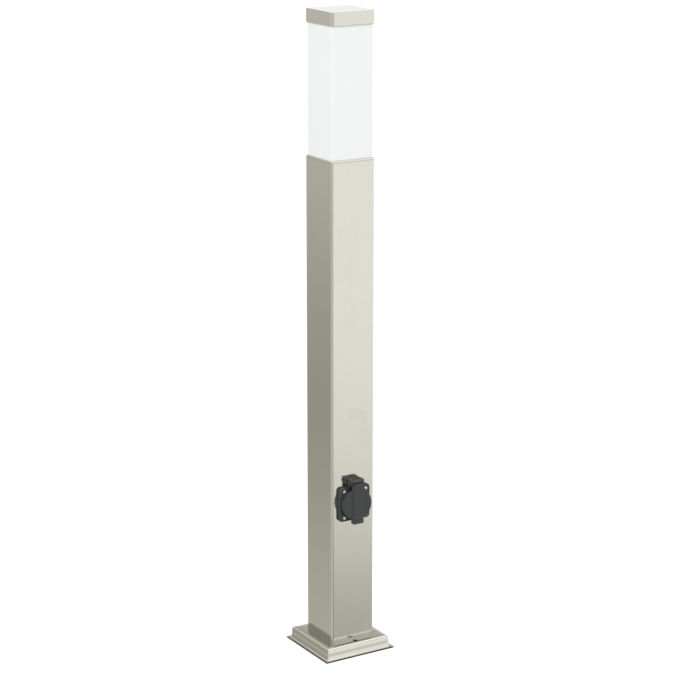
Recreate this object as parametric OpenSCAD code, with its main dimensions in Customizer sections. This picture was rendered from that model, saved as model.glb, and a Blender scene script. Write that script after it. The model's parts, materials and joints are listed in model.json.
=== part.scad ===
// Garden socket post: a square stainless bollard light with an opal head and a
// hinged-lid outdoor outlet. Millimetres, +Z up, origin at the middle of the foot's
// underside. The outlet is on the -Y face.

/* [Overall] */
// Height from the ground to the top of the cap
total_h = 1000; // [800:5:1400]

/* [Post] */
// Outside width of the square tube
post_w = 76; // [74:1:90]
// Wall of the tube
post_wall = 1.5; // [1:0.1:2.5]
// Outside corner radius of the tube
post_r = 4; // [3:0.5:6]

/* [Foot] */
// Width of the lip that lies on the ground
lip_w = 123; // [121:1:150]
// Width of the raised box of the foot
foot_w = 111; // [109:1:118]
// Height of the foot
foot_h = 19.5; // [17:0.5:30]
// Sheet thickness of the pressed foot
foot_sheet = 1.5; // [1:0.1:2]
// How far each side of the foot leans out over its height
foot_flare = 1.2; // [0.4:0.1:2]
// Radius of the foot's rolled top edge
foot_edge_r = 3.5; // [2:0.5:5]
// Radius where the foot's side runs out into the lip
foot_root_r = 1.2; // [0.6:0.1:2]
// Diameter of the two ground anchor holes, front and back
anchor_d = 8.5; // [6:0.5:9]
// Distance between the two ground anchor holes
anchor_span = 93; // [90:1:94]

/* [Base fixings] */
// Plate that closes the bottom of the tube
base_plate_t = 4; // [3:0.5:6]
// Distance of the four screws that hold the tube to the foot in from the post's faces
base_screw_inset = 13; // [11:0.5:15]
// Diameter of those screws
base_screw_d = 5; // [4:0.5:6]
// Bore of the rubber cable inlet
inlet_d = 9; // [7:0.5:12]
// Outside of the rubber inlet where it passes the plates
inlet_neck_d = 18; // [16:0.5:20]
// Flange of the rubber inlet
inlet_flange_d = 24; // [22:0.5:26]
// Thickness of each flange of the rubber inlet
inlet_flange_t = 2; // [1.5:0.5:3]

/* [Wiring] */
// Height of the terminal bracket's upright
bracket_h = 95; // [90:1:110]
// Thickness of the terminal bracket
bracket_t = 1.5; // [1:0.1:2]
// Distance of the bracket's upright in from the post's back face
bracket_inset = 24; // [22:0.5:24.5]
// Length of the bracket's foot on the base plate
bracket_foot = 19; // [17:0.5:20]
// Width of the bracket's foot
bracket_foot_w = 28; // [24:1:36]
// Distance of the earth screw from the bracket's upright
earth_screw_at = 11; // [10:0.5:12]
// Height of the terminal block over the base plate
block_lift = 60; // [50:1:66]
// Width, depth and height of the terminal block
block_size = [38, 20, 24];
// Pitch of the block's three poles
pole_pitch = 12; // [10:0.5:13]
// Outside diameter of the insulated wires
wire_d = 2.4; // [2:0.1:2.8]
// How far a wire runs straight into the block and straight out of it
wire_end = 8; // [6:0.5:9]
// Height in which a wire bends away from the block or towards the lamp
wire_turn = 80; // [60:1:90]

/* [Light head] */
// Visible height of the opal diffuser
light_h = 198.5; // [170:0.5:260]
// How far the diffuser stands in from the post's faces
diffuser_inset = 2; // [1.5:0.25:4]
// Wall of the diffuser
diffuser_wall = 2.5; // [1.5:0.1:3]
// Outside corner radius of the diffuser
diffuser_r = 4; // [3.5:0.5:6]
// How far the cap stands out past the post's faces
cap_over = 0.5; // [0.25:0.25:4]
// Height of the cap
cap_h = 20.5; // [14:0.5:30]
// Corner radius of the cap
cap_r = 7; // [5:0.5:8]
// Wall of the cap
cap_wall = 1.5; // [1:0.1:2]
// Seal between diffuser and cap
cap_seal_t = 1.5; // [1:0.1:3]
// Seal between diffuser and collar
foot_seal_t = 0.8; // [0.5:0.1:1.5]
// Visible height of the collar that ends the tube
collar_h = 3; // [2:0.5:6]
// Depth of the collar's spigot in the tube
collar_depth = 14; // [10:1:25]
// Width of the collar's ledge, from the post's faces to its opening
collar_ledge = 16; // [15:0.5:17]

/* [Lamp] */
// Radius of the lamp holder's body
holder_r = 19; // [18:0.5:21]
// Height of the lamp holder
holder_h = 34; // [32:1:40]
// Radius of the screw cap on the lamp
lamp_cap_r = 13.1; // [13:0.1:13.4]
// Radius of the lamp's globe
globe_r = 29; // [26:0.5:30]
// Height of the lamp over its holder's floor
lamp_len = 102; // [96:1:110]
// Distance of the lamp bridge's two screws in from the post's faces
bridge_inset = 12; // [11.5:0.25:12.5]

/* [Outlet] */
// Height of the outlet's middle over the ground
sock_z = 246.5; // [220:0.5:400]
// Width and height of the outlet's flange
flange_w = 55; // [54:0.5:58]
// Corner radius of the flange
flange_r = 6; // [4:0.5:7]
// Front of the flange, out from the post
flange_d = 6; // [5:0.5:7]
// Flange seal against the post
flange_seal_t = 1; // [0.5:0.1:1.5]
// Horizontal pitch of the flange screws
screw_px = 38; // [37:0.5:40]
// Vertical pitch of the flange screws
screw_py = 42; // [41:0.5:43]
// Diameter of the flange screws
screw_d = 3.8; // [3:0.1:4]
// Diameter of the flange screws' heads
screw_head_d = 5.6; // [5:0.1:6.5]
// Radius of the plug recess
recess_r = 19.75; // [19.5:0.05:20]
// Depth of the plug recess
recess_depth = 17.5; // [16:0.5:18.5]
// Front of the raised rim round the recess
rim_d = 11; // [10:0.5:11.5]
// Wall round the recess behind the flange
recess_wall = 2; // [1.5:0.1:2.2]
// Wall of the rim that stands in front of the flange
rim_wall = 1.3; // [1:0.1:1.5]
// Pitch of the plug's two pins
pin_pitch = 19; // [18:0.5:20]
// Diameter of the pin holes
pin_hole_d = 5.6; // [5.2:0.1:6]

/* [Lid] */
// Radius of the round lid
lid_r = 25; // [24.5:0.1:26]
// Front face of the lid's disc, out from the post
lid_d = 15; // [14.5:0.1:16]
// Wall of the lid
lid_wall = 2; // [1.5:0.1:2.2]
// Front of the lid's raised band
band_d = 18.5; // [18.3:0.1:20]
// Width of the raised band at its foot
band_w = 20; // [18:0.5:21]
// Width of the raised band's front, between its sloping sides
band_front_w = 14.5; // [12:0.5:17]
// Width of the finger tab
tab_w = 18; // [14:0.5:19]
// How far the tab reaches below the outlet's middle
tab_drop = 30.5; // [28.5:0.5:34]
// Height of the hinge pin over the outlet's middle
hinge_up = 35.3; // [34:0.1:37]
// Height of the groove that parts the band from the crown of the hinge
groove_w = 2.4; // [1.6:0.1:2.6]
// Hinge pin, out from the post
hinge_d = 12.5; // [12.3:0.1:12.8]
// Radius of the hinge barrel
barrel_r = 5.1; // [4.8:0.1:5.2]
// Overall width of the hinge
hinge_w = 21; // [20:0.5:23]
// Width of the lid's knuckle between the hinge's ears
knuckle_w = 12.6; // [12:0.1:13.5]
// Diameter of the hinge pin
pin_d = 3; // [2.5:0.1:3.2]

/* [Lid spring] */
// Wire of the torsion spring
spring_wire_d = 0.8; // [0.6:0.05:0.9]
// Mean radius of its coil
spring_r = 3; // [2.8:0.05:3.1]
// Turns of the coil
spring_turns = 4; // [3:1:4]
// Pitch of the coil
spring_pitch = 1.3; // [1.25:0.05:1.4]

/* [Clearances] */
// Gap between pieces that are pushed or welded together
fit_gap = 0.1; // [0.05:0.05:0.2]
// Gap of a screw or pin in its hole
hole_gap = 0.2; // [0.1:0.05:0.3]
// Running gap of the hinge pin in the lid
run_gap = 0.05; // [0.02:0.01:0.08]
// Gap between the lid and the pieces that it swings past
swing_gap = 0.4; // [0.3:0.05:0.6]

/* [Hidden] */
$fn = 64;
e = 0.01;
z_steel = total_h - cap_h - light_h;
tube_top = z_steel - collar_h;
tube_in = post_w - 2 * post_wall;
tube_in_r = post_r - post_wall;
foot_slope = foot_flare / (foot_h - foot_edge_r);
foot_root = foot_w / 2 + foot_slope * (foot_h - foot_edge_r - foot_sheet);
root_mid = foot_root + foot_root_r * (sqrt(1 + foot_slope * foot_slope) - foot_slope) - 2 * e;
lip_size = max(lip_w, 2 * root_mid + 2);
z_plate = foot_h + base_plate_t;
base_screw_pitch = post_w - 2 * base_screw_inset;
bracket_y = post_w / 2 - bracket_inset;
z_block = z_plate + block_lift;
z_block_top = z_block + block_size.z;
diffuser_w = post_w - 2 * diffuser_inset;
diffuser_in = diffuser_w - 2 * diffuser_wall;
cap_w = post_w + 2 * cap_over;
collar_open = post_w - 2 * collar_ledge;
bridge_pitch = post_w - 2 * bridge_inset;
diffuser_bottom = z_steel + foot_seal_t;
cap_ceiling = total_h - cap_wall;
diffuser_top = cap_ceiling - cap_seal_t;
clip_room = 1.2;
clip_t = 0.5;
spigot_w = diffuser_in - 2 * clip_room;
spigot_h = 10;
spigot_wall = 1.5;
bridge_t = 1.5;
z_holder = z_steel + bridge_t;
bridge_len = spigot_w - 2 * spigot_wall - 1;
bridge_screw_d = 4;
nipple_r = 5;
nipple_in = 3.5;
recess_floor = rim_d - recess_depth;
insert_t = 6.5;
insert_back = recess_floor - insert_t;
cup_lip_t = 1.5;
cup_back = insert_back - cup_lip_t;
cup_r = recess_r + recess_wall;
back_len = 13.5;
contact_len = 10;
wire_depth = back_len - contact_len - 0.3;
back_end = cup_back - back_len;
strap_t = 0.8;
strap_w = 5;
clip_y = recess_r - 2.2;
lid_in_r = lid_r - lid_wall;
lid_skirt_d = flange_d + swing_gap + 0.2;
groove_low = -0.1;
band_top = hinge_up + groove_low;
ear_gap = 0.3;
pole_front = -4;
pole_back = 4;

// Outline of a square with round corners
module round_square(w, r) {
    square([w, w - 2 * r], center = true);
    square([w - 2 * r, w], center = true);
    for (x = [-1, 1], y = [-1, 1]) translate([x, y] * (w / 2 - r)) circle(r);
}

module round_box(w, r, z0, z1) {
    translate([0, 0, z0]) linear_extrude(z1 - z0) round_square(w, r);
}

// A square tube with round corners
module round_tube(w, r, wall, z0, z1) {
    difference() {
        round_box(w, r, z0, z1);
        round_box(w - 2 * wall, max(r - wall, 0.5), z0 - 1, z1 + 1);
    }
}

// Side outline of a box whose sides lean out and whose upper edges are rolled over
module rolled_side(w, h, r) {
    low = w / 2 + foot_slope * (h - r + 1);
    polygon([[-low, -1], [low, -1], [w / 2, h - r], [-w / 2, h - r]]);
    translate([-w / 2 + r, 0]) square([w - 2 * r, h]);
    for (x = [-1, 1]) translate([x * (w / 2 - r), h - r]) circle(r);
}

// Square box with rolled upper edges that meet in mitres
module rolled_box(w, h, r) {
    intersection() {
        rotate([90, 0, 0]) translate([0, 0, -w]) linear_extrude(2 * w) rolled_side(w, h, r);
        rotate([90, 0, 90]) translate([0, 0, -w]) linear_extrude(2 * w) rolled_side(w, h, r);
        translate([-w, -w, 0]) cube([2 * w, 2 * w, h + 1]);
    }
}

module tube(r_out, r_in, z0, z1) {
    difference() {
        translate([0, 0, z0]) cylinder(r = r_out, h = z1 - z0);
        translate([0, 0, z0 - 1]) cylinder(r = r_in, h = z1 - z0 + 2);
    }
}

module rod(r, z0, z1) {
    translate([0, 0, z0]) cylinder(r = r, h = z1 - z0);
}

// A box from its low corner to its high corner
module span(a, b) {
    translate(a) cube(b - a);
}

module four(pitch) {
    for (x = [-1, 1], y = [-1, 1]) translate([x, y, 0] * pitch / 2) children();
}

// The outlet's own frame: x across, y up from its middle, z out from the post's face
module front() {
    translate([0, -post_w / 2, sock_z]) rotate([90, 0, 0]) children();
}

module flange_holes() {
    for (x = [-1, 1], y = [-1, 1]) translate([x * screw_px / 2, y * screw_py / 2, 0]) children();
}

// A profile of (out, up) points round the hinge pin, drawn out along the pin
module along_pin(x0, x1) {
    translate([x0, hinge_up, hinge_d]) rotate([0, 90, 0]) rotate([0, 0, 90])
        linear_extrude(x1 - x0) mirror([1, 0]) rotate(90) children();
}

// Pan-head screw along z, its head on z = 0 upward and its shank down
module pan_screw(d, head_d, head_h, length) {
    difference() {
        union() {
            rod(d / 2, -length, e);
            rod(head_d / 2, 0, head_h * 0.6);
            rod(head_d / 2 - head_h * 0.25, 0, head_h);
        }
        for (a = [0, 90]) rotate(a)
            translate([-head_d * 0.32, -head_d * 0.07, head_h * 0.5])
                cube([head_d * 0.64, head_d * 0.14, head_h]);
    }
}

// Points along a smooth curve through a route's own points
function bend(p0, p1, p2, p3, t) = 0.5 * (2 * p1 + (p2 - p0) * t
    + (2 * p0 - 5 * p1 + 4 * p2 - p3) * t * t + (3 * p1 - p0 - 3 * p2 + p3) * t * t * t);
function smooth(p, steps) = let (n = len(p)) concat(
    [for (i = [0 : n - 2], k = [0 : steps - 1])
        bend(p[max(i - 1, 0)], p[i], p[i + 1], p[min(i + 2, n - 1)], k / steps)], [p[n - 1]]);
function unit(v) = v / norm(v);

// A round strand along a list of points, closed at both ends
module strand(p, d, sides, guide = [1, 0.02, 0.03]) {
    n = len(p);
    dirs = [for (i = [0 : n - 1]) unit(p[min(i + 1, n - 1)] - p[max(i - 1, 0)])];
    rings = [for (i = [0 : n - 1]) let (a = unit(cross(dirs[i], guide)), b = cross(dirs[i], a))
        for (k = [0 : sides - 1])
            p[i] + (a * cos(360 * k / sides) + b * sin(360 * k / sides)) * d / 2];
    skin = [for (i = [0 : n - 2], k = [0 : sides - 1]) let (j = (k + 1) % sides,
            a = i * sides + k, b = i * sides + j, c = a + sides, f = b + sides)
        for (face = [[a, c, b], [b, c, f]]) face];
    low = [for (k = [1 : sides - 2]) [0, k, k + 1]];
    high = [for (k = [1 : sides - 2]) let (m = (n - 1) * sides) [m, m + k + 1, m + k]];
    polyhedron(points = rings, faces = concat(skin, low, high), convexity = 6);
}

// Pressed steel foot: a shallow box that runs out into a flat lip
module foot() {
    color("silver") difference() {
        union() {
            rolled_box(foot_w, foot_h, foot_edge_r);
            translate([-lip_size / 2, -lip_size / 2, 0]) cube([lip_size, lip_size, foot_sheet]);
            for (a = [0 : 90 : 270]) rotate(a) intersection() {
                difference() {
                    span([-root_mid, foot_w / 2 - e, foot_sheet - e],
                        [root_mid, root_mid, foot_sheet + foot_root_r * (1 - foot_slope)]);
                    translate([-foot_w, root_mid, foot_sheet + foot_root_r])
                        rotate([0, 90, 0]) cylinder(r = foot_root_r, h = 2 * foot_w);
                }
                linear_extrude(foot_h) polygon([[0, 0], [foot_w, foot_w], [-foot_w, foot_w]]);
            }
        }
        translate([0, 0, -1])
            rolled_box(foot_w - 2 * foot_sheet, foot_h - foot_sheet + 1, foot_edge_r - foot_sheet + 0.5);
        for (s = [-1, 1]) translate([0, s * anchor_span / 2, 0])
            rod(anchor_d / 2, 0, foot_h + 1);
        rod(inlet_neck_d / 2 + fit_gap, 0, foot_h + 1);
        four(base_screw_pitch) rod(base_screw_d / 2 + hole_gap, 0, foot_h + 1);
    }
}

// Square stainless tube with the outlet's cut-out in its front wall
module post_tube() {
    color("lightgray") difference() {
        round_tube(post_w, post_r, post_wall, foot_h, tube_top);
        front() {
            rod(cup_r + 0.5, -post_wall - 1, 1);
            flange_holes() rod(screw_d / 2 + hole_gap, -post_wall - 1, 1);
        }
    }
}

// Plate welded in the bottom of the tube
module post_base_plate() {
    color("gray") difference() {
        round_box(tube_in - 2 * fit_gap, max(tube_in_r, 0.5), foot_h, z_plate);
        rod(inlet_neck_d / 2 + fit_gap, 0, z_plate + 1);
        four(base_screw_pitch) rod(base_screw_d / 2 + run_gap, 0, z_plate + 1);
        translate([0, bracket_y + earth_screw_at, 0]) rod(base_screw_d / 2 + run_gap, 0, z_plate + 1);
    }
}

// Four screws from inside the foot up into the base plate
module foot_screws() {
    color("whitesmoke") four(base_screw_pitch) translate([0, 0, foot_h - foot_sheet]) rotate([180, 0, 0])
        pan_screw(base_screw_d, base_screw_d * 1.8, 3, foot_sheet + base_plate_t + 3);
}

// Rubber cable inlet snapped through the foot and the base plate
module cable_inlet() {
    low = foot_h - foot_sheet;
    color("dimgray") difference() {
        union() {
            rod(inlet_neck_d / 2, low - e, z_plate + e);
            rod(inlet_flange_d / 2, low - inlet_flange_t, low);
            rod(inlet_flange_d / 2, z_plate, z_plate + inlet_flange_t);
        }
        rod(inlet_d / 2, low - inlet_flange_t - 1, z_plate + inlet_flange_t + 1);
    }
}

// Bent bracket that carries the terminal block
module terminal_bracket() {
    color("gainsboro") difference() {
        union() {
            span([-bracket_foot_w / 2, bracket_y, z_plate],
                [bracket_foot_w / 2, bracket_y + bracket_foot, z_plate + bracket_t]);
            span([-block_size.x / 2, bracket_y, z_plate],
                [block_size.x / 2, bracket_y + bracket_t, z_plate + bracket_h]);
        }
        translate([0, bracket_y + earth_screw_at, 0])
            rod(base_screw_d / 2 + hole_gap, z_plate - 1, z_plate + bracket_t + 1);
        for (x = [-1, 1]) translate([x * pole_pitch / 2, bracket_y, z_block + block_size.z / 2])
            rotate([90, 0, 0]) rod(1.6, -bracket_t - 1, 1);
    }
}

// Earth screw through the bracket's foot into the base plate
module earth_screw() {
    color("gold") translate([0, bracket_y + earth_screw_at, z_plate + bracket_t])
        pan_screw(base_screw_d, base_screw_d * 1.8, 3, bracket_t + base_plate_t);
}

// Poles of the terminal block, by number
module poles() {
    for (i = [-1 : 1]) translate([i * pole_pitch, bracket_y - block_size.y / 2, 0]) children();
}

// Three-pole terminal block
module terminal_block() {
    color("ivory") difference() {
        span([-block_size.x / 2, bracket_y - block_size.y, z_block],
            [block_size.x / 2, bracket_y, z_block_top]);
        poles() {
            for (y = [pole_front, pole_back]) translate([0, y, 0])
                rod(wire_d / 2 + 0.3, z_block_top - wire_end - 2, z_block_top + 1);
            rod(wire_d / 2 + 0.6, z_block - 1, z_block + wire_end + 2);
        }
        poles() for (z = [6, block_size.z - 6]) translate([0, -block_size.y / 2, z_block + z])
            rotate([90, 0, 0]) rod(1.5 + run_gap, -3.5, 1);
        for (x = [-1, 1])
            translate([x * pole_pitch / 2, bracket_y - block_size.y, z_block + block_size.z / 2])
                rotate([90, 0, 0]) {
                    rod(1.6, -block_size.y - 1, 1);
                    rod(3, -3, 1);
                }
    }
}

// Clamping screws of the terminal block
module terminal_screws() {
    color("gold") poles() for (z = [6, block_size.z - 6])
        translate([0, -block_size.y / 2, z_block + z]) rotate([90, 0, 0]) pan_screw(3, 4.6, 1.4, 3.4);
}

// Two screws that hold the terminal block to its bracket
module block_screws() {
    color("whitesmoke") for (x = [-1, 1])
        translate([x * pole_pitch / 2, bracket_y - block_size.y + 3, z_block + block_size.z / 2])
            rotate([90, 0, 0]) pan_screw(3, 5.4, 2, block_size.y - 3 + bracket_t + 1.5);
}

// Route from the top of a pole to a terminal behind the outlet
function outlet_route(pole, x, y) = let (px = pole * pole_pitch,
        py = bracket_y - block_size.y / 2 + pole_front, back = -post_w / 2 - back_end)
    [[px, py, z_block_top - wire_end], [px, py, z_block_top], [px, py, z_block_top + wire_end],
     [px, py + wire_turn / 20, z_block_top + wire_turn * 3 / 8],
     [(px + x) / 2, back + wire_turn / 4, sock_z + y - wire_turn / 2],
     [x, back + wire_turn / 5, sock_z + y - wire_turn * 3 / 20],
     [x, back + wire_end, sock_z + y - wire_end / 8], [x, back + wire_end * 3 / 8, sock_z + y],
     [x, back, sock_z + y], [x, back - wire_depth, sock_z + y]];

// Route from the top of a pole up the back of the post to the lamp
function lamp_route(pole, x, y, top) = let (px = pole * pole_pitch,
        py = bracket_y - block_size.y / 2 + pole_back, py2 = tube_in / 2 - wire_turn * 3 / 20)
    [[px, py, z_block_top - wire_end], [px, py, z_block_top], [px, py, z_block_top + wire_end],
     [px, py2 - wire_turn * 3 / 40, z_block_top + wire_turn * 0.425], [px, py2, z_block_top + wire_turn],
     [px, py2, (z_block_top + top) / 2], [px, py2, top - wire_turn * 9 / 8],
     [(px + x) / 2, (py2 + y) / 2, top - wire_turn * 5 / 8], [x, y, top - wire_turn * 9 / 40],
     [x, y, top - wire_end * 3 / 4], [x, y, top]];

module live_wires() {
    color("saddlebrown") {
        strand(smooth(outlet_route(-1, -pin_pitch / 2, 0), 4), wire_d, 8);
        strand(smooth(lamp_route(-1, -1.6, 0, z_holder + 2), 4), wire_d, 8);
    }
}

module neutral_wires() {
    color("royalblue") {
        strand(smooth(outlet_route(1, pin_pitch / 2, 0), 4), wire_d, 8);
        strand(smooth(lamp_route(1, 1.6, 0, z_holder + 2), 4), wire_d, 8);
    }
}

module earth_wires() {
    color("yellowgreen") {
        strand(smooth(outlet_route(0, 0, -10), 4), wire_d, 8);
        strand(smooth(lamp_route(0, bridge_pitch / 2, 7, tube_top - 1.2), 4), wire_d, 8);
    }
}

// Collar that closes the tube and carries the head and the lamp
module top_collar() {
    color("silver") difference() {
        union() {
            round_box(post_w, post_r, tube_top, z_steel);
            round_tube(tube_in - 2 * fit_gap, max(tube_in_r, 0.5), 2,
                tube_top - collar_depth, tube_top + e);
            round_tube(spigot_w, 3, spigot_wall, z_steel - e, z_steel + spigot_h);
        }
        round_box(collar_open, 4, tube_top - 1, z_steel + 1);
        for (x = [-1, 1]) translate([x * bridge_pitch / 2, 0, 0])
            rod(bridge_screw_d / 2 + hole_gap, tube_top - 1, z_steel + 1);
    }
}

// Thin silicone seal under the diffuser
module diffuser_seal() {
    color("whitesmoke") round_tube(diffuser_w, diffuser_r, diffuser_wall, z_steel, diffuser_bottom);
}

// Four leaf springs on the collar's spigot that hold the head down
module head_clips() {
    bump = clip_room - 0.25;
    color("lightsteelblue") for (a = [0 : 90 : 270]) rotate(a) translate([0, -spigot_w / 2, z_steel])
        intersection() {
            union() {
                span([-6, -clip_t, 1], [6, 0, spigot_h - 0.5]);
                translate([-6, 0, spigot_h / 2]) rotate([0, 90, 0]) cylinder(r = bump, h = 12);
            }
            span([-6, -clip_room, 0], [6, 0, spigot_h]);
        }
}

// Strip across the collar that carries the lamp holder
module lamp_bridge() {
    color("gainsboro") difference() {
        span([-bridge_len / 2, -12, z_steel], [bridge_len / 2, 12, z_holder]);
        rod(nipple_r + hole_gap, z_steel - 1, z_holder + 1);
        for (x = [-1, 1]) translate([x * bridge_pitch / 2, 0, 0])
            rod(bridge_screw_d / 2 + hole_gap, z_steel - 1, z_holder + 1);
    }
}

module bridge_screws() {
    color("whitesmoke") for (x = [-1, 1]) translate([x * bridge_pitch / 2, 0, z_holder])
        pan_screw(bridge_screw_d, 7, 2.4, bridge_t + collar_h + 6);
}

module bridge_nuts() {
    color("silver") for (x = [-1, 1]) translate([x * bridge_pitch / 2, 0, tube_top - 1 - 3.2])
        difference() {
            cylinder(r = 3.9, h = 3.2, $fn = 6);
            translate([0, 0, -1]) cylinder(r = bridge_screw_d / 2 + run_gap, h = 6);
        }
    color("silver") translate([-bridge_pitch / 2, 0, 0])
        tube(4, bridge_screw_d / 2 + run_gap, tube_top - 1, tube_top);
}

// Earth tag under the collar
module earth_lug() {
    color("gold") translate([bridge_pitch / 2, 0, 0]) difference() {
        union() {
            rod(4, tube_top - 1, tube_top);
            span([-1.8, 0, tube_top - 1], [1.8, 9, tube_top]);
        }
        rod(bridge_screw_d / 2 + run_gap, tube_top - 2, tube_top + 1);
    }
}

// Body of the lamp holder
module lampholder() {
    color("white") difference() {
        union() {
            rod(holder_r - 3, z_holder, z_holder + 8);
            rod(holder_r, z_holder + 5, z_holder + holder_h);
        }
        rod(lamp_cap_r + 1.6, z_holder + 6, z_holder + holder_h + 1);
        rod(nipple_r + fit_gap, z_holder - 1, z_holder + 4);
        rod(nipple_in, z_holder - 1, z_holder + 7);
    }
}

// Screw shell of the lamp holder
module holder_shell() {
    color("gold") tube(lamp_cap_r + 1.5, lamp_cap_r + 0.3, z_holder + 6, z_holder + holder_h - 3);
}

// Middle contact of the lamp holder
module holder_contact() {
    color("goldenrod") span([-9, -3, z_holder + 6], [9, 3, z_holder + 7.5]);
}

// Threaded nipple and nut that clamp the lamp holder to its bridge
module holder_nipple() {
    color("silver") difference() {
        union() {
            rod(nipple_r, z_steel - 8, z_holder + 4);
            translate([0, 0, z_steel - 4]) cylinder(r = 8.5, h = 4, $fn = 6);
        }
        rod(nipple_in, z_steel - 9, z_holder + 5);
    }
}

// Screw cap of the lamp
module lamp_cap() {
    color("lightgray") {
        rod(4.5, z_holder + 7.5, z_holder + 10);
        rod(lamp_cap_r, z_holder + 10 - e, z_holder + holder_h - 1);
    }
}

// Tapered body of the lamp
module lamp_body() {
    color("white") translate([0, 0, z_holder + holder_h - 1]) rotate_extrude()
        polygon([[0, 0], [lamp_cap_r + 1, 0], [lamp_cap_r + 3, 4], [globe_r * 0.9, 27], [0, 27]]);
}

// Frosted globe of the lamp
module lamp_globe() {
    z0 = z_holder + holder_h - 1 + 27;
    zc = z_holder + 6 + lamp_len - globe_r;
    color("ivory") difference() {
        union() {
            translate([0, 0, zc]) sphere(globe_r);
            rod(globe_r * 0.88, z0, zc);
        }
        rod(globe_r + 1, z0 - 2 * globe_r, z0);
    }
}

// Opal diffuser tube
module diffuser() {
    color("white") round_tube(diffuser_w, diffuser_r, diffuser_wall, diffuser_bottom, diffuser_top);
}

// Deep-drawn stainless cap
module cap() {
    color("silver") difference() {
        round_box(cap_w, cap_r, total_h - cap_h, total_h);
        round_box(cap_w - 2 * cap_wall, cap_r - cap_wall, total_h - cap_h - 1, cap_ceiling);
    }
}

// Seal that beds the diffuser in the cap
module cap_seal() {
    w = cap_w - 2 * cap_wall - 2 * fit_gap;
    color("whitesmoke") round_tube(w, cap_r - cap_wall, (w - diffuser_in) / 2, diffuser_top, cap_ceiling);
}

// Rubber seal between the outlet and the post
module flange_seal() {
    color("black") front() difference() {
        round_box(flange_w - 1, flange_r - 0.5, 0, flange_seal_t);
        rod(cup_r + 0.5, -1, flange_seal_t + 1);
        flange_holes() rod(screw_d / 2 + hole_gap, -1, flange_seal_t + 1);
    }
}

// Groove across the front of the hinge, over the top of the lid's band
module hinge_groove() {
    deep = pin_d / 2 + 0.8;
    along_pin(-band_w, band_w) translate([0, groove_low])
        polygon([[deep, -0.75 * groove_w], [barrel_r + 0.1, 0], [3 * barrel_r, 0],
                 [3 * barrel_r, groove_w], [deep, groove_w]]);
}

// Side outline of the hinge ears, as (out, up) from the pin
module ear_outline() {
    back = flange_seal_t - hinge_d;
    shelf = flange_w / 2 - hinge_up;
    circle(barrel_r);
    polygon([[back, barrel_r - 0.5], [-3.4, barrel_r - 0.5], [0, 0], [-1, -barrel_r + 0.1],
        [shelf + 0.5, -barrel_r + 0.1], [flange_d - hinge_d, shelf - 1],
        [flange_d - hinge_d, shelf - 5], [back, shelf - 5]]);
}

// Outlet body: flange, plug recess and the hinge's ears
module outlet_frame() {
    color("darkslategray") front() difference() {
        union() {
            round_box(flange_w, flange_r, flange_seal_t, flange_d);
            rod(cup_r, cup_back, flange_d);
            rod(recess_r + rim_wall, flange_d - e, rim_d);
            for (s = [-1, 1]) along_pin(s > 0 ? knuckle_w / 2 + ear_gap : -hinge_w / 2,
                s > 0 ? hinge_w / 2 : -knuckle_w / 2 - ear_gap) ear_outline();
            span([-hinge_w / 2, flange_w / 2 - 5, flange_seal_t],
                [hinge_w / 2, hinge_up + barrel_r - 0.5, hinge_d - barrel_r - 1.3]);
        }
        rod(recess_r, insert_back, rim_d + 1);
        rod(recess_r - 1.7, cup_back - 1, rim_d + 1);
        flange_holes() rod(screw_d / 2 + hole_gap, 0, flange_d + 1);
        translate([-hinge_w, hinge_up, hinge_d]) rotate([0, 90, 0])
            cylinder(r = pin_d / 2 + 0.02, h = 2 * hinge_w);
        hinge_groove();
    }
}

module flange_screws() {
    color("white") front() flange_holes() translate([0, 0, flange_d])
        pan_screw(screw_d, screw_head_d, 2, flange_d + post_wall + 4.5);
}

module flange_nuts() {
    color("silver") front() flange_holes() translate([0, 0, -post_wall - 2.8]) difference() {
        cylinder(r = 3.6, h = 2.8, $fn = 6);
        translate([0, 0, -1]) cylinder(r = screw_d / 2 + run_gap, h = 5);
    }
}

// Floor of the plug recess with the two pin holes
module outlet_insert() {
    color("dimgray") front() difference() {
        rod(recess_r - fit_gap, insert_back, recess_floor);
        for (x = [-1, 1]) translate([x * pin_pitch / 2, 0, 0])
            rod(pin_hole_d / 2, insert_back - 1, recess_floor + 1);
        for (y = [-1, 1]) translate([0, y * (clip_y - strap_t / 2), 0])
            span([-strap_w / 2 - 0.3, -strap_t / 2 - 0.3, insert_back - 1],
                [strap_w / 2 + 0.3, strap_t / 2 + 0.3, recess_floor + 1]);
        rod(1.6 + hole_gap, insert_back - 1, recess_floor + 1);
        rod(3.2, recess_floor - 2.4, recess_floor + 1);
    }
}

// Contact sleeves behind the pin holes
module pin_contacts() {
    color("goldenrod") front() for (x = [-1, 1]) translate([x * pin_pitch / 2, 0, 0]) difference() {
        rod(3.6, cup_back - contact_len, insert_back);
        rod(2.45, cup_back - contact_len + 1, insert_back + 1);
    }
}

// Earth strap with a clip at the top and the bottom of the recess
module earth_clips() {
    color("gold") front() difference() {
        union() {
            span([-strap_w / 2, -clip_y, insert_back - strap_t], [strap_w / 2, clip_y, insert_back]);
            for (y = [-1, 1]) translate([0, y * (clip_y - strap_t / 2), 0])
                span([-strap_w / 2, -strap_t / 2, insert_back - strap_t],
                    [strap_w / 2, strap_t / 2, rim_d - 4]);
        }
        rod(1.6 + hole_gap, insert_back - 2, insert_back + 1);
    }
}

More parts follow.
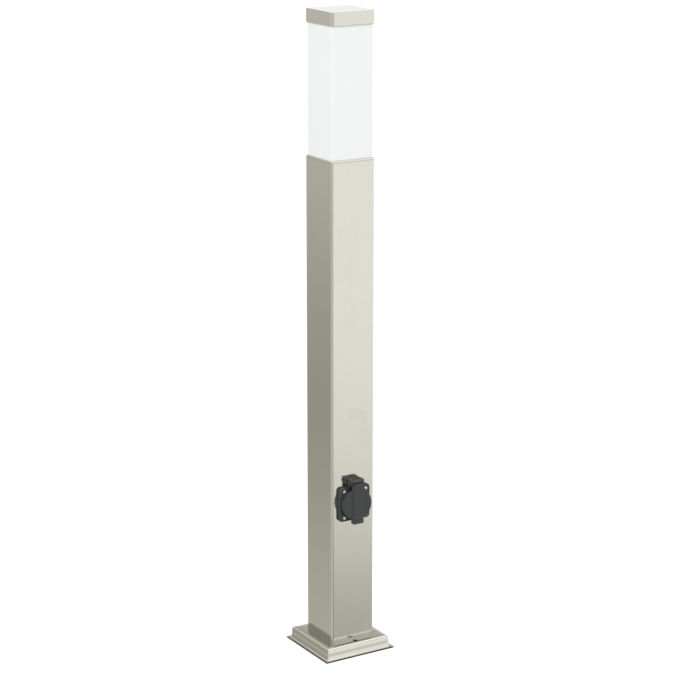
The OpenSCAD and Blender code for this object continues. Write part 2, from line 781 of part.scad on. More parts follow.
// Housing behind the recess that holds the contacts
module outlet_back() {
    color("black") front() difference() {
        rod(cup_r - 1, back_end, cup_back);
        for (x = [-1, 1]) translate([x * pin_pitch / 2, 0, 0]) {
            rod(3.6 + fit_gap, cup_back - contact_len, cup_back + 1);
            rod(wire_d / 2 + 0.3, back_end - 1, cup_back);
        }
        translate([0, -10, 0]) rod(wire_d / 2 + 0.3, back_end - 1, cup_back + 1);
        rod(1.6 + run_gap, cup_back - 9, cup_back + 1);
        for (p = [[-pin_pitch / 2, 6.5], [pin_pitch / 2, 6.5], [4.5, -10]]) translate(p)
            rod(1.25 + run_gap, back_end - 1, back_end + 6);
    }
}

// Screw that holds insert, strap and housing together
module insert_screw() {
    color("silver") front() translate([0, 0, recess_floor - 2.3])
        pan_screw(3.2, 6, 2.2, recess_floor - 2.3 - cup_back + 8);
}

module outlet_terminals() {
    color("gold") front() for (p = [[-pin_pitch / 2, 6.5], [pin_pitch / 2, 6.5], [4.5, -10]])
        translate([p.x, p.y, back_end]) rotate([180, 0, 0]) pan_screw(2.5, 4.4, 1.4, 5.5);
}

// Steel pin of the lid's hinge, pressed into the ears
module hinge_pin() {
    color("silver") front() translate([-hinge_w / 2, hinge_up, hinge_d]) rotate([0, 90, 0])
        cylinder(r = pin_d / 2, h = hinge_w);
}

// Torsion spring that shuts the lid: a coil on the pin, one leg back to the outlet's
// body and one leg into the lid
spring_half = spring_turns * spring_pitch / 2;
function spring_at(t) = let (a = -90 - 360 * spring_turns * t)
    [-spring_half + 2 * spring_half * t, hinge_up + spring_r * sin(a), hinge_d + spring_r * cos(a)];
spring_steps = spring_turns * 8;
spring_points = concat(
    [[-spring_half, hinge_up - spring_r, hinge_d - barrel_r - 1],
     [-spring_half, hinge_up - spring_r, hinge_d - 1.2]],
    [for (i = [0 : spring_steps]) spring_at(i / spring_steps)],
    [[spring_half, hinge_up - spring_r, hinge_d + 1.2]]);
spring_gap = min([for (i = [2 : len(spring_points) - 1], j = [i + 4 : 1 : len(spring_points) - 1])
    norm(spring_points[i] - spring_points[j])]) - spring_wire_d;

module lid_spring() {
    echo(spring_least_gap = spring_gap);
    color("silver") front() strand(spring_points, spring_wire_d, 6, [0.1, 1, 0.05]);
}

// Raised band across the lid, with sloping sides
module lid_band() {
    foot_d = lid_d + 0.4;
    translate([0, band_top, 0]) rotate([90, 0, 0]) linear_extrude(band_top + lid_r - 1)
        polygon([[-band_w / 2, lid_d - lid_wall], [band_w / 2, lid_d - lid_wall], [band_w / 2, foot_d],
                 [band_front_w / 2, band_d], [-band_front_w / 2, band_d], [-band_w / 2, foot_d]]);
}

// Hinged lid: a round cap with a raised band that ends in a finger tab
module lid() {
    k = knuckle_w / 2;
    color("darkslategray") front() difference() {
        union() {
            rotate_extrude() difference() {
                union() {
                    translate([0, lid_skirt_d]) square([lid_r, lid_d - lid_skirt_d - 1.2]);
                    translate([0, lid_d - 1.3]) square([lid_r - 1.2, 1.3]);
                    translate([lid_r - 1.2, lid_d - 1.2]) circle(1.2);
                }
                translate([-1, lid_skirt_d - 1]) square([lid_in_r + 1, lid_d - lid_wall - lid_skirt_d + 1]);
                translate([-lid_r, 0]) square([lid_r, 2 * lid_d]);
            }
            lid_band();
            span([-tab_w / 2, -tab_drop, flange_d + 3], [tab_w / 2, -lid_r + 1.2, band_d - 0.5]);
            along_pin(-k, k) circle(barrel_r);
        }
        for (s = [-1, 1]) along_pin(s > 0 ? k : -band_w, s > 0 ? band_w : -k)
            circle(barrel_r + swing_gap);
        along_pin(-band_w, band_w) circle(pin_d / 2 + run_gap);
        along_pin(-spring_half - 0.9, spring_half + 0.9) {
            circle(spring_r + spring_wire_d / 2 + 0.4);
            translate([-2 * barrel_r, -2 * barrel_r]) square([2 * barrel_r - 2.6, 4 * barrel_r]);
            translate([-2 * barrel_r, -2 * barrel_r]) square([2 * barrel_r + 1.8, 2 * barrel_r - 2.2]);
        }
        hinge_groove();
        span([-band_w, flange_w / 2 - 5.5, -1], [band_w, band_top - barrel_r - 0.7, lid_d - lid_wall]);
    }
}

// Ring seal in the lid that shuts on the rim of the recess
module lid_seal() {
    color("black") front() tube(lid_in_r - 0.4, recess_r - 0.5, rim_d + 0.3, lid_d - lid_wall);
}

foot();
post_tube();
post_base_plate();
foot_screws();
cable_inlet();
terminal_bracket();
earth_screw();
terminal_block();
terminal_screws();
block_screws();
live_wires();
neutral_wires();
earth_wires();
top_collar();
diffuser_seal();
head_clips();
lamp_bridge();
bridge_screws();
bridge_nuts();
earth_lug();
lampholder();
holder_shell();
holder_contact();
holder_nipple();
lamp_cap();
lamp_body();
lamp_globe();
diffuser();
cap();
cap_seal();
flange_seal();
outlet_frame();
flange_screws();
flange_nuts();
outlet_insert();
pin_contacts();
earth_clips();
outlet_back();
insert_screw();
outlet_terminals();
hinge_pin();
lid_spring();
lid();
lid_seal();
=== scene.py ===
# %% [markdown]
# # A garden socket post
# A square stainless post on a pressed foot, with an opal light head and, low on its front
# face, a charcoal outlet under a sprung lid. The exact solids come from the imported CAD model.
# This lesson dresses them: it keeps the pieces that are already right, remakes those that need
# soft edges, and gives each one a material built from nodes.

# %% Load the frame
import json
import math

import bmesh
import bpy
import numpy as np
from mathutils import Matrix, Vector

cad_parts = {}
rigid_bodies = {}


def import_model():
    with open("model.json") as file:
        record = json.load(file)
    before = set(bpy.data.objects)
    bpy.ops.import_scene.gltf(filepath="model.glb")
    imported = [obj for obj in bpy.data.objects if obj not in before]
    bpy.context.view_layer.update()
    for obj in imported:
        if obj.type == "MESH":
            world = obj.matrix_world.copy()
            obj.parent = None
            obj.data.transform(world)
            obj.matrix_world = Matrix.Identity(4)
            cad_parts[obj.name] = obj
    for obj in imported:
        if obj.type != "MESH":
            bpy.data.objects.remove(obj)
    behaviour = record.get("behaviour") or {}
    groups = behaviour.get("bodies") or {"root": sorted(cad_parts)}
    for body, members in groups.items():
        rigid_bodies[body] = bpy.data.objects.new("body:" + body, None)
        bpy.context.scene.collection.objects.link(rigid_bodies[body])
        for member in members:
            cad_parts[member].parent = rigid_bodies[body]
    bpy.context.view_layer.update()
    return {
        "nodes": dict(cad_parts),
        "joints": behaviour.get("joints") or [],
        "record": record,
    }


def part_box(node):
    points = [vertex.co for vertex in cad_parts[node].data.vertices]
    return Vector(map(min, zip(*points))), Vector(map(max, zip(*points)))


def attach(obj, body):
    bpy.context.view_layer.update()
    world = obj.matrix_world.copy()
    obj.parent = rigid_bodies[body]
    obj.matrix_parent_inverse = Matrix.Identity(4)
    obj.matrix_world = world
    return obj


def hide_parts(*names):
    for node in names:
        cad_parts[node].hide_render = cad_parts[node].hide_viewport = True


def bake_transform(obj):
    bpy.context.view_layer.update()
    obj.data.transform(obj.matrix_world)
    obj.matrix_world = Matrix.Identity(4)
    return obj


for leftover in list(bpy.data.objects):
    bpy.data.objects.remove(leftover)
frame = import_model()
nodes = frame["nodes"]
slot_of = {part["node"]: part["material_slot"] for part in frame["record"]["subparts"]}
scene = bpy.context.scene
scene.view_settings.view_transform = "Standard"

# %% [markdown]
# ## Sizes from the CAD
# Blender works in metres, but small parts are easier to think of in millimetres. So shapes are
# drawn in millimetres, and turned to metres when their mesh is made. The levels and widths that
# pieces share are read from the boxes of the CAD nodes, which keeps the remade pieces in place.

# %% Sizes
MM = 0.001


# Half width, lowest level and highest level of a CAD node
def reach(node):
    low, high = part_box(node)
    return [round(v / MM, 2) for v in (high[0], low[2], high[2])]


FOOT_HALF, GROUND_Z, FOOT_TOP = reach("foot")
TUBE_HALF, TUBE_LOW, TUBE_TOP = reach("post_tube")
OUTLET_Z = sum(reach("flange_seal")[1:]) / 2


# How far the back and the front of an outlet piece lie off the tube's face
def depth(node):
    low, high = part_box(node)
    return [round(-v / MM - TUBE_HALF, 2) for v in (high[1], low[1])]


print("foot half width", FOOT_HALF, "tube half width", TUBE_HALF, "outlet level", OUTLET_Z)

# %% [markdown]
# ## Camera
# The view is that of a tall object seen from a little above its own height, 31 degrees round
# to its left. The camera stands where the perspective of the photograph puts it. It is tilted
# down rather than shifted, so that a turn round the object keeps it in the frame.

# %% Place the camera
VIEW_TURN, VIEW_TILT = math.radians(-31.478), math.radians(15.08)
VIEW_REACH, VIEW_HEIGHT = 3.160, 1.348
VIEW_LENS, VIEW_SENSOR = 113.4, 36.0

lens = bpy.data.cameras.new("photo_camera")
lens.sensor_width = VIEW_SENSOR
lens.lens = VIEW_LENS
camera = bpy.data.objects.new("photo_camera", lens)
camera.location = (VIEW_REACH * math.sin(VIEW_TURN), -VIEW_REACH * math.cos(VIEW_TURN), VIEW_HEIGHT)
camera.rotation_euler = (math.pi / 2 - VIEW_TILT, 0, VIEW_TURN)
scene.collection.objects.link(camera)
scene.camera = camera
print("camera at", [round(v, 3) for v in camera.location], "lens", VIEW_LENS)

# %% [markdown]
# ## Small helpers for node trees
# Node trees get long when every socket is set by hand. These short helpers keep the materials
# below readable: one adds a node with its values, one joins sockets, one does arithmetic, one
# makes a soft step, two mix colours or plain values, and two read a place.

# %% Node helpers
def add(tree, kind, **values):
    node = tree.nodes.new(kind)
    for key, value in values.items():
        if key in node.inputs:
            node.inputs[key].default_value = value
        else:
            setattr(node, key, value)
    return node


def join(tree, source, target):
    if isinstance(source, (int, float, tuple)):
        target.default_value = source
    else:
        tree.links.new(source, target)


def maths(tree, operation, *terms, clamp=False):
    node = add(tree, "ShaderNodeMath", operation=operation, use_clamp=clamp)
    for socket, term in zip(node.inputs, terms):
        join(tree, term, socket)
    return node.outputs[0]


def ramp(tree, value, low, high, to_low=0.0, to_high=1.0):
    node = add(tree, "ShaderNodeMapRange", interpolation_type="SMOOTHSTEP")
    for name, term in (("Value", value), ("From Min", low), ("From Max", high),
                       ("To Min", to_low), ("To Max", to_high)):
        join(tree, term, node.inputs[name])
    return node.outputs["Result"]


# %% Mixing and reading
def tint(tree, factor, first, second):
    node = add(tree, "ShaderNodeMix", data_type="RGBA")
    for index, term in ((0, factor), (6, first), (7, second)):
        join(tree, term, node.inputs[index])
    return node.outputs[2]


def between(tree, factor, first, second):
    node = add(tree, "ShaderNodeMix", data_type="FLOAT")
    for index, term in ((0, factor), (2, first), (3, second)):
        join(tree, term, node.inputs[index])
    return node.outputs[0]


def split(tree, place):
    node = add(tree, "ShaderNodeSeparateXYZ")
    join(tree, place, node.inputs[0])
    return node.outputs


def off_axis(tree, x, y):
    return maths(tree, "MAXIMUM", maths(tree, "ABSOLUTE", x), maths(tree, "ABSOLUTE", y))


print("node helpers:", [h.__name__ for h in (add, join, maths, ramp, tint, between, split, off_axis)])

# %% [markdown]
# ## Studio
# A pale floor, a plain white surround and two large soft lamps. The camera has to see white,
# but white from all round would leave polished steel flat. So rays are told apart: to the
# camera, floor and surround are white, with the object's shadow on the floor. A mirror image
# shows walls that are pale at eye level and darker in places, as a studio with one bright side
# has, and those give the steel its bands. Right under the foot and in a band round the lip, the
# paper's colour and glow are painted dark: a painted contact shadow, seen as a thin line along the lip.

# %% Floor
FLOOR_HALF, FLOOR_DROP = 40, 0.0003
SHADE_FROM, SHADE_TO = (FOOT_HALF - 0.1) * MM, (FOOT_HALF + 2.1) * MM
PAPER_PAINTED_SHADE, PAPER_OPEN, PAPER_GLOW = (0.12, 0.12, 0.12, 1), (0.5, 0.5, 0.5, 1), 0.72
WHITE = (1, 1, 1, 1)

floor_mesh = bpy.data.meshes.new("studio_floor")
corners = [(x * FLOOR_HALF, y * FLOOR_HALF, -FLOOR_DROP) for x, y in ((-1, -1), (1, -1), (1, 1), (-1, 1))]
floor_mesh.from_pydata(corners, [], [(0, 1, 2, 3)])
floor = bpy.data.objects.new("studio_floor", floor_mesh)
floor.visible_glossy = False
scene.collection.objects.link(floor)
paper = bpy.data.materials.new("studio_paper")
paper.use_nodes = True
tree = paper.node_tree
tree.nodes.clear()
rays = add(tree, "ShaderNodeLightPath").outputs
x, y, _ = split(tree, add(tree, "ShaderNodeTexCoord").outputs["Object"])
# Painted contact shadow: the paper's colour and its glow fall off under the foot and within 2 mm of the lip
out_of_painted_shade = ramp(tree, off_axis(tree, x, y), SHADE_FROM, SHADE_TO)
paper_matt = add(tree, "ShaderNodeBsdfDiffuse")
join(tree, tint(tree, out_of_painted_shade, PAPER_PAINTED_SHADE, PAPER_OPEN), paper_matt.inputs["Color"])
paper_glow = add(tree, "ShaderNodeEmission", Color=WHITE)
glow = maths(tree, "MULTIPLY", maths(tree, "MULTIPLY", rays["Is Camera Ray"], PAPER_GLOW), out_of_painted_shade)
join(tree, glow, paper_glow.inputs["Strength"])
paper_seen = add(tree, "ShaderNodeAddShader")
join(tree, paper_matt.outputs[0], paper_seen.inputs[0])
join(tree, paper_glow.outputs[0], paper_seen.inputs[1])
join(tree, paper_seen.outputs[0], add(tree, "ShaderNodeOutputMaterial").inputs["Surface"])
floor_mesh.materials.append(paper)
print("floor of", 2 * FLOOR_HALF, "m, shaded to", round(SHADE_TO / MM, 1), "mm from the axis")

# %% Walls of the surround
# Each stop is the height of a direction, as a sine, and the brightness that a mirror shows there
LOWEST, BRIGHTEST = -0.5, 1.5
GROUND = (
    (-0.5, 0.41), (-0.39, 0.455), (-0.378, 0.51), (-0.357, 0.66), (-0.332, 0.82), (-0.287, 0.95),
    (-0.24, 0.99), (-0.2, 1.0), (-0.1, 0.97))
FRONT_WALL = GROUND + (
    (0.0, 1.0), (0.2, 1.05), (0.33, 1.0), (0.39, 0.8), (0.42, 0.5), (0.46, 0.2), (0.53, 0.2),
    (0.57, 0.7), (0.61, 1.1), (0.75, 1.35), (1.0, 1.4))
BACK_WALL = GROUND + (
    (0.0, 1.0), (0.15, 1.0), (0.25, 0.8), (0.39, 0.46), (0.48, 0.4), (0.56, 0.5), (0.65, 0.85),
    (0.8, 1.3), (1.0, 1.4))
LEFT_WALL = (
    (-0.5, 0.46), (-0.375, 0.51), (-0.332, 0.41), (-0.287, 0.355), (-0.242, 0.42), (-0.186, 0.53),
    (-0.113, 0.6), (0.0, 0.62), (0.12, 0.6), (0.2, 0.5), (0.3, 0.37), (0.38, 0.28), (0.41, 0.28),
    (0.46, 0.5), (0.55, 0.8), (0.75, 1.25), (1.0, 1.4))
LEFT_FRONT = ((-0.5, 0.6), (-0.2, 0.6), (-0.1, 0.68), (0.39, 0.5), (0.7, 1.0), (1.0, 1.4))


def wall(tree, height, stops):
    brightness = add(tree, "ShaderNodeFloatCurve")
    curve = brightness.mapping.curves[0]
    spots = [((h - LOWEST) / (1 - LOWEST), v / BRIGHTEST) for h, v in stops]
    while len(curve.points) < len(spots):
        curve.points.new(0.5, 0.5)
    for point, spot in zip(curve.points, spots):
        point.location, point.handle_type = spot, "VECTOR"
    brightness.mapping.update()
    join(tree, height, brightness.inputs["Value"])
    return maths(tree, "MULTIPLY", brightness.outputs[0], BRIGHTEST)


print("stops on the walls:", [len(w) for w in (FRONT_WALL, BACK_WALL, LEFT_WALL, LEFT_FRONT)])

# %% Surround
# Each pair is a part of a direction, where one wall or shade begins to give way and where it has
TURN_RIGHT, TURN_BACK, TURN_LEFT_BACK = (-0.3, 0.42), (-0.5, 0.5), (0.25, 0.75)
SEAM_AT, SEAM, SEAM_FOOT, SEAM_SHADE = -0.05, (0.32, 0.08), (-0.30, -0.36), 0.65
WARM_LEFT, WARM_RIGHT, COOL = (1, 0.985, 0.87, 1), (1, 0.995, 0.926, 1), (1.01, 1.02, 1.03, 1)
COOL_BELOW = (0.26, 0.14)
FILL = 0.7

world = bpy.data.worlds.new("studio_surround")
scene.world = world
world.use_nodes = True
tree = world.node_tree
tree.nodes.clear()
across, away, up = split(tree, add(tree, "ShaderNodeTexCoord").outputs["Generated"])
height = maths(tree, "DIVIDE", maths(tree, "SUBTRACT", up, LOWEST), 1 - LOWEST, clamp=True)
to_right = ramp(tree, across, *TURN_RIGHT)
to_back = ramp(tree, away, *TURN_BACK)
left = between(tree, ramp(tree, away, *TURN_LEFT_BACK),
               wall(tree, height, LEFT_FRONT), wall(tree, height, LEFT_WALL))
right = between(tree, to_back, wall(tree, height, FRONT_WALL), wall(tree, height, BACK_WALL))
seam = ramp(tree, maths(tree, "ABSOLUTE", maths(tree, "SUBTRACT", across, SEAM_AT)), *SEAM)
shade = between(tree, to_back, ramp(tree, up, *SEAM_FOOT, 0.0, SEAM_SHADE), 0.0)
mirrored = maths(tree, "MULTIPLY", between(tree, to_right, left, right),
                 maths(tree, "SUBTRACT", 1.0, maths(tree, "MULTIPLY", seam, shade)))
warm = tint(tree, to_right, WARM_LEFT, WARM_RIGHT)
low_back = maths(tree, "MULTIPLY", maths(tree, "MULTIPLY", to_right, to_back), ramp(tree, up, *COOL_BELOW))
tone = tint(tree, low_back, warm, COOL)
print("mirrored walls of", len(tree.nodes), "nodes")

# %% Rays told apart
rays = add(tree, "ShaderNodeLightPath").outputs
mirror_ray = maths(tree, "MAXIMUM", rays["Is Glossy Ray"], rays["Is Transmission Ray"])
seen = maths(tree, "ADD", rays["Is Camera Ray"], maths(tree, "MULTIPLY", mirror_ray, mirrored))
unseen = maths(tree, "SUBTRACT", 1.0, maths(tree, "MAXIMUM", mirror_ray, rays["Is Camera Ray"]))
surround = add(tree, "ShaderNodeBackground")
join(tree, tint(tree, mirror_ray, WHITE, tone), surround.inputs["Color"])
join(tree, maths(tree, "ADD", seen, maths(tree, "MULTIPLY", unseen, FILL)), surround.inputs["Strength"])
join(tree, surround.outputs[0], add(tree, "ShaderNodeOutputWorld").inputs["Surface"])
print("surround of", len(tree.nodes), "nodes")

# %% Lamps
LAMP_AIM = (0, 0, 0.5)


def softbox(name, place, size, watts):
    lamp = bpy.data.lights.new(name, "AREA")
    lamp.shape = "RECTANGLE"
    lamp.size, lamp.size_y = size
    lamp.energy = watts
    holder = bpy.data.objects.new(name, lamp)
    holder.location = place
    holder.rotation_euler = (Vector(LAMP_AIM) - Vector(place)).to_track_quat("-Z", "Y").to_euler()
    holder.visible_camera = holder.visible_glossy = False
    scene.collection.objects.link(holder)


softbox("key_softbox", place=(1.9, -2.6, 2.3), size=(1.4, 1.8), watts=44)
softbox("fill_softbox", place=(-2.9, -0.9, 1.9), size=(1.2, 1.8), watts=45)
print("lamps:", [lamp.name for lamp in bpy.data.lights])

# %% [markdown]
# ## Shared surface effects
# Three effects turn up on many pieces: the fine lines that rolling and polishing leave on
# metal, the faint cloudiness of a handled surface, and the spark-eroded grain of a plastic
# mould. Each is a node group made once, with its own scale where it is used. They read Object
# coordinates, so a pattern stays put on its piece.

# %% Effect groups
def node_group(name, kind, inputs, outputs):
    tree = bpy.data.node_groups.new(name, kind)
    for way, sockets in (("INPUT", inputs), ("OUTPUT", outputs)):
        for label, what in sockets.items():
            tree.interface.new_socket(label, in_out=way, socket_type="NodeSocket" + what)
    return tree, add(tree, "NodeGroupInput").outputs, add(tree, "NodeGroupOutput").inputs


def noise(tree, given, factor, **values):
    texture = add(tree, "ShaderNodeTexNoise", **values)
    join(tree, given["Vector"], texture.inputs["Vector"])
    join(tree, maths(tree, "MULTIPLY", given["Scale"], factor), texture.inputs["Scale"])
    return texture.outputs[0]


print("group helpers:", [h.__name__ for h in (node_group, noise)])

# %% Polish lines
polish_lines, given, made = node_group(
    "polish_lines", "ShaderNodeTree", {"Vector": "Vector", "Stretch": "Vector"}, {"Lines": "Float"})
scaled = add(polish_lines, "ShaderNodeVectorMath", operation="MULTIPLY")
join(polish_lines, given["Vector"], scaled.inputs[0])
join(polish_lines, given["Stretch"], scaled.inputs[1])
lines = add(polish_lines, "ShaderNodeTexNoise", Scale=1.0, Detail=3.0, Roughness=0.6)
join(polish_lines, scaled.outputs[0], lines.inputs["Vector"])
join(polish_lines, ramp(polish_lines, lines.outputs[0], 0.3, 0.7), made["Lines"])
print("polish group of", len(polish_lines.nodes), "nodes")

# %% Handled haze
handled_haze, given, made = node_group(
    "handled_haze", "ShaderNodeTree", {"Vector": "Vector", "Scale": "Float"}, {"Haze": "Float"})
cloud = noise(handled_haze, given, 1.0, Detail=4.0, Roughness=0.55)
smear = noise(handled_haze, given, 3.7, Detail=2.0, Roughness=0.5, Distortion=0.8)
haze = maths(handled_haze, "MULTIPLY",
             ramp(handled_haze, cloud, 0.38, 0.68), ramp(handled_haze, smear, 0.3, 0.75))
join(handled_haze, haze, made["Haze"])
print("haze group of", len(handled_haze.nodes), "nodes")

# %% Mould grain
mould_grain, given, made = node_group(
    "mould_grain", "ShaderNodeTree", {"Vector": "Vector", "Scale": "Float"},
    {"Height": "Float", "Tone": "Float"})
join(mould_grain, noise(mould_grain, given, 1.0, Detail=2.0, Roughness=0.5), made["Height"])
mottle = noise(mould_grain, given, 0.06, Detail=3.0, Roughness=0.6)
join(mould_grain, ramp(mould_grain, mottle, 0.3, 0.7), made["Tone"])
print("grain group of", len(mould_grain.nodes), "nodes")

# %% [markdown]
# ## Metals
# A metal's colour lies in its mirror image, so each one is fully metallic, and what tells the
# finishes apart is roughness. The sheet steel is polished bright and slightly warm. Its
# roughness follows the polish lines and the haze, which breaks up the reflection a little.

# %% Material helpers
materials = {}


def start_material(name):
    materials[name] = bpy.data.materials.new(name)
    materials[name].use_nodes = True
    tree = materials[name].node_tree
    return tree, tree.nodes["Principled BSDF"], add(tree, "ShaderNodeTexCoord").outputs["Object"]


def use_effect(tree, group, place, **values):
    node = add(tree, "ShaderNodeGroup", node_tree=group)
    join(tree, place, node.inputs["Vector"])
    for label, value in values.items():
        node.inputs[label].default_value = value
    return node.outputs


def dent(tree, shader, height, deep, strength):
    bump = add(tree, "ShaderNodeBump", Strength=strength, Distance=deep)
    join(tree, height, bump.inputs["Height"])
    join(tree, bump.outputs[0], shader.inputs["Normal"])


print("material helpers:", [h.__name__ for h in (start_material, use_effect, dent)])

# %% Metal materials
HAZE_SHARE = 0.5
POLISH_DEPTH, POLISH_STRENGTH = 0.00002, 0.08


def metal(name, colour, dull, roughness, spread, stretch, haze_scale):
    tree, shader, place = start_material(name)
    shader.inputs["Metallic"].default_value = 1.0
    lines = use_effect(tree, polish_lines, place, Stretch=stretch)["Lines"]
    haze = use_effect(tree, handled_haze, place, Scale=haze_scale)["Haze"]
    cover = maths(tree, "MULTIPLY", haze, HAZE_SHARE)
    join(tree, tint(tree, cover, (*colour, 1), (*dull, 1)), shader.inputs["Base Color"])
    worn = maths(tree, "ADD", maths(tree, "MULTIPLY", lines, spread), maths(tree, "MULTIPLY", haze, spread))
    join(tree, maths(tree, "ADD", worn, roughness), shader.inputs["Roughness"])
    dent(tree, shader, lines, POLISH_DEPTH, POLISH_STRENGTH)
    return tree, shader, place


metal("steel_zinc", colour=(0.62, 0.63, 0.64), dull=(0.50, 0.51, 0.52), roughness=0.32, spread=0.12,
      stretch=(300, 300, 300), haze_scale=60.0)
metal("screw_steel", colour=(0.86, 0.86, 0.85), dull=(0.78, 0.78, 0.77), roughness=0.16, spread=0.08,
      stretch=(2500, 2500, 2500), haze_scale=200.0)
# The spring is dark: a phosphated finish, and painted shade for the hinge groove that it shows through
metal("spring_steel", colour=(0.10, 0.10, 0.105), dull=(0.07, 0.07, 0.072), roughness=0.38, spread=0.10,
      stretch=(1800, 1800, 1800), haze_scale=150.0)
metal("brass", colour=(0.80, 0.62, 0.31), dull=(0.62, 0.45, 0.20), roughness=0.22, spread=0.12,
      stretch=(900, 900, 900), haze_scale=120.0)
metal("nickel", colour=(0.76, 0.745, 0.71), dull=(0.66, 0.64, 0.60), roughness=0.18, spread=0.08,
      stretch=(900, 900, 60), haze_scale=80.0)
print("metals:", sorted(materials))

# %% [markdown]
# ## Sheet steel with cut edges and painted shade
# Only the faces of the sheet are polished. Where it was sheared along the foot's lip and punched
# for the ground anchors, the cut is dull, and its colour is painted dark: partly the dull cut,
# partly painted shade, the contact shadow along the lip and the shade inside the holes. Both
# places follow from the foot's size, so a mask made from Object coordinates finds them: far from
# the axis and low down, or close to the middle of a hole. The other steel pieces never come near
# either place.

# %% Stainless sheet
LIP_T = 1.5
CUT_STEEL_AND_SHADE = (0.06, 0.058, 0.05, 1)
PUNCHED_SHARE = 0.6
anchors = next(mount for mount in frame["record"]["mounts"] if mount["name"] == "anchor_holes")["dims"]
ANCHOR_OUT, ANCHOR_R = anchors["spacing_y_mm"] / 2, anchors["hole_r_mm"]

tree, shader, place = metal(
    "stainless", colour=(0.752, 0.740, 0.700), dull=(0.72, 0.708, 0.67), roughness=0.09, spread=0.05,
    stretch=(900, 900, 14), haze_scale=9.0)
x, y, z = split(tree, place)
at_edge = ramp(tree, off_axis(tree, x, y), (FOOT_HALF - 0.25) * MM, (FOOT_HALF - 0.1) * MM)
sheared = maths(tree, "MULTIPLY", at_edge, ramp(tree, z, (LIP_T + 0.2) * MM, LIP_T * MM))
along = maths(tree, "SUBTRACT", maths(tree, "ABSOLUTE", y), ANCHOR_OUT * MM)
squares = [maths(tree, "MULTIPLY", way, way) for way in (x, along)]
from_hole = maths(tree, "SQRT", maths(tree, "ADD", *squares))
punched = ramp(tree, from_hole, (ANCHOR_R + 0.1) * MM, (ANCHOR_R + 0.03) * MM, 0.0, PUNCHED_SHARE)
polished = shader.inputs["Base Color"].links[0].from_socket
# Dull cut faces, darkened further with painted shade: the contact shadow along the lip and the shade in the
# holes
cut_face_and_shade = maths(tree, "MAXIMUM", sheared, punched)
join(tree, tint(tree, cut_face_and_shade, polished, CUT_STEEL_AND_SHADE), shader.inputs["Base Color"])
print("stainless sheet with anchor holes of", 2 * ANCHOR_R, "mm,", 2 * ANCHOR_OUT, "mm apart")

# %% [markdown]
# ## Plastics and rubber
# The outlet is moulded in charcoal plastic with a fine satin grain. The light head is an opal
# tube, milky all through, with a smooth skin. A faint painted glow stands in for the light that it
# scatters inside, so the cap casts no hard shadow on it. Rubber and wire sleeves are duller. One
# recipe serves all: a colour that mottles very slightly, and grain that stands up by hundredths of a
# millimetre.

# %% Plastic recipe
HANDLED_SCALE = 40.0


def plastic(name, colour, other, roughness, spread, grain, deep, strength):
    tree, shader, place = start_material(name)
    skin = use_effect(tree, mould_grain, place, Scale=grain)
    haze = use_effect(tree, handled_haze, place, Scale=HANDLED_SCALE)["Haze"]
    join(tree, tint(tree, skin["Tone"], (*colour, 1), (*other, 1)), shader.inputs["Base Color"])
    worn = maths(tree, "ADD", maths(tree, "MULTIPLY", haze, spread), roughness)
    join(tree, worn, shader.inputs["Roughness"])
    dent(tree, shader, skin["Height"], deep, strength)
    return shader


def sleeve(name, colour, other):
    plastic(name, colour, other, roughness=0.38, spread=0.1, grain=900.0, deep=0.00002, strength=0.1)


print("plastic recipes:", [h.__name__ for h in (plastic, sleeve)])

# %% Plastic materials
OPAL_PAINTED_GLOW, OPAL_PAINTED_GLOW_STRENGTH = (0.96, 1.0, 0.99, 1), 0.12

plastic("charcoal_plastic", (0.041, 0.0445, 0.0485), (0.047, 0.0505, 0.054), roughness=0.42, spread=0.10,
        grain=2600.0, deep=0.00004, strength=0.25)
plastic("insert_plastic", (0.030, 0.031, 0.032), (0.036, 0.037, 0.038), roughness=0.46, spread=0.10,
        grain=2600.0, deep=0.00004, strength=0.25)
plastic("white_plastic", (0.84, 0.835, 0.81), (0.80, 0.795, 0.77), roughness=0.32, spread=0.10,
        grain=1800.0, deep=0.00002, strength=0.12)
plastic("rubber", (0.030, 0.030, 0.031), (0.042, 0.042, 0.043), roughness=0.62, spread=0.14,
        grain=1500.0, deep=0.00005, strength=0.35)
# Greyer than clean silicone: partly the seal's own tone, partly painted shade for the thin line under the
# light head
plastic("silicone", (0.70, 0.70, 0.685), (0.66, 0.66, 0.645), roughness=0.50, spread=0.10,
        grain=1200.0, deep=0.00003, strength=0.2)
plastic("frosted", (0.93, 0.925, 0.90), (0.90, 0.895, 0.87), roughness=0.45, spread=0.08,
        grain=3500.0, deep=0.00002, strength=0.15)
sleeve("wire_brown", (0.22, 0.10, 0.045), (0.26, 0.125, 0.06))
sleeve("wire_blue", (0.05, 0.16, 0.48), (0.065, 0.19, 0.54))
sleeve("wire_green", (0.26, 0.52, 0.07), (0.62, 0.58, 0.05))
opal = plastic("opal", (0.80, 0.82, 0.815), (0.785, 0.805, 0.80), roughness=0.30, spread=0.08,
               grain=500.0, deep=0.00002, strength=0.06)
# Painted glow: the head is no lamp, this emission lightens it all round in place of scattered light
opal.inputs["Emission Color"].default_value = OPAL_PAINTED_GLOW
opal.inputs["Emission Strength"].default_value = OPAL_PAINTED_GLOW_STRENGTH
print("materials:", len(materials))

# %% [markdown]
# ## Kept pieces
# Every CAD node takes the material of its slot in the record. Its mesh isn't touched: only the
# material in its slot changes. The pieces that are remade below hide their nodes again.

# %% Materials on the CAD nodes
for name, node in nodes.items():
    for material_slot in node.material_slots:
        material_slot.material = materials[slot_of[name]]
print("kept nodes with a material:", sum(bool(n.material_slots) for n in nodes.values()))

# %% [markdown]
# ## Helpers for sheet metal and mouldings
# Most pieces are one section carried round a rounded square, or turned on an axis. So a section
# is drawn as corners with their radii, and `loft` strings loops of points together into a closed
# skin. All helpers work in millimetres. `solid` turns a skin into a mesh in metres, with normals
# outward, smooth where the surface bends gently and sharp where it doesn't.

# %% Sections
LEAST_CORNER = 0.05


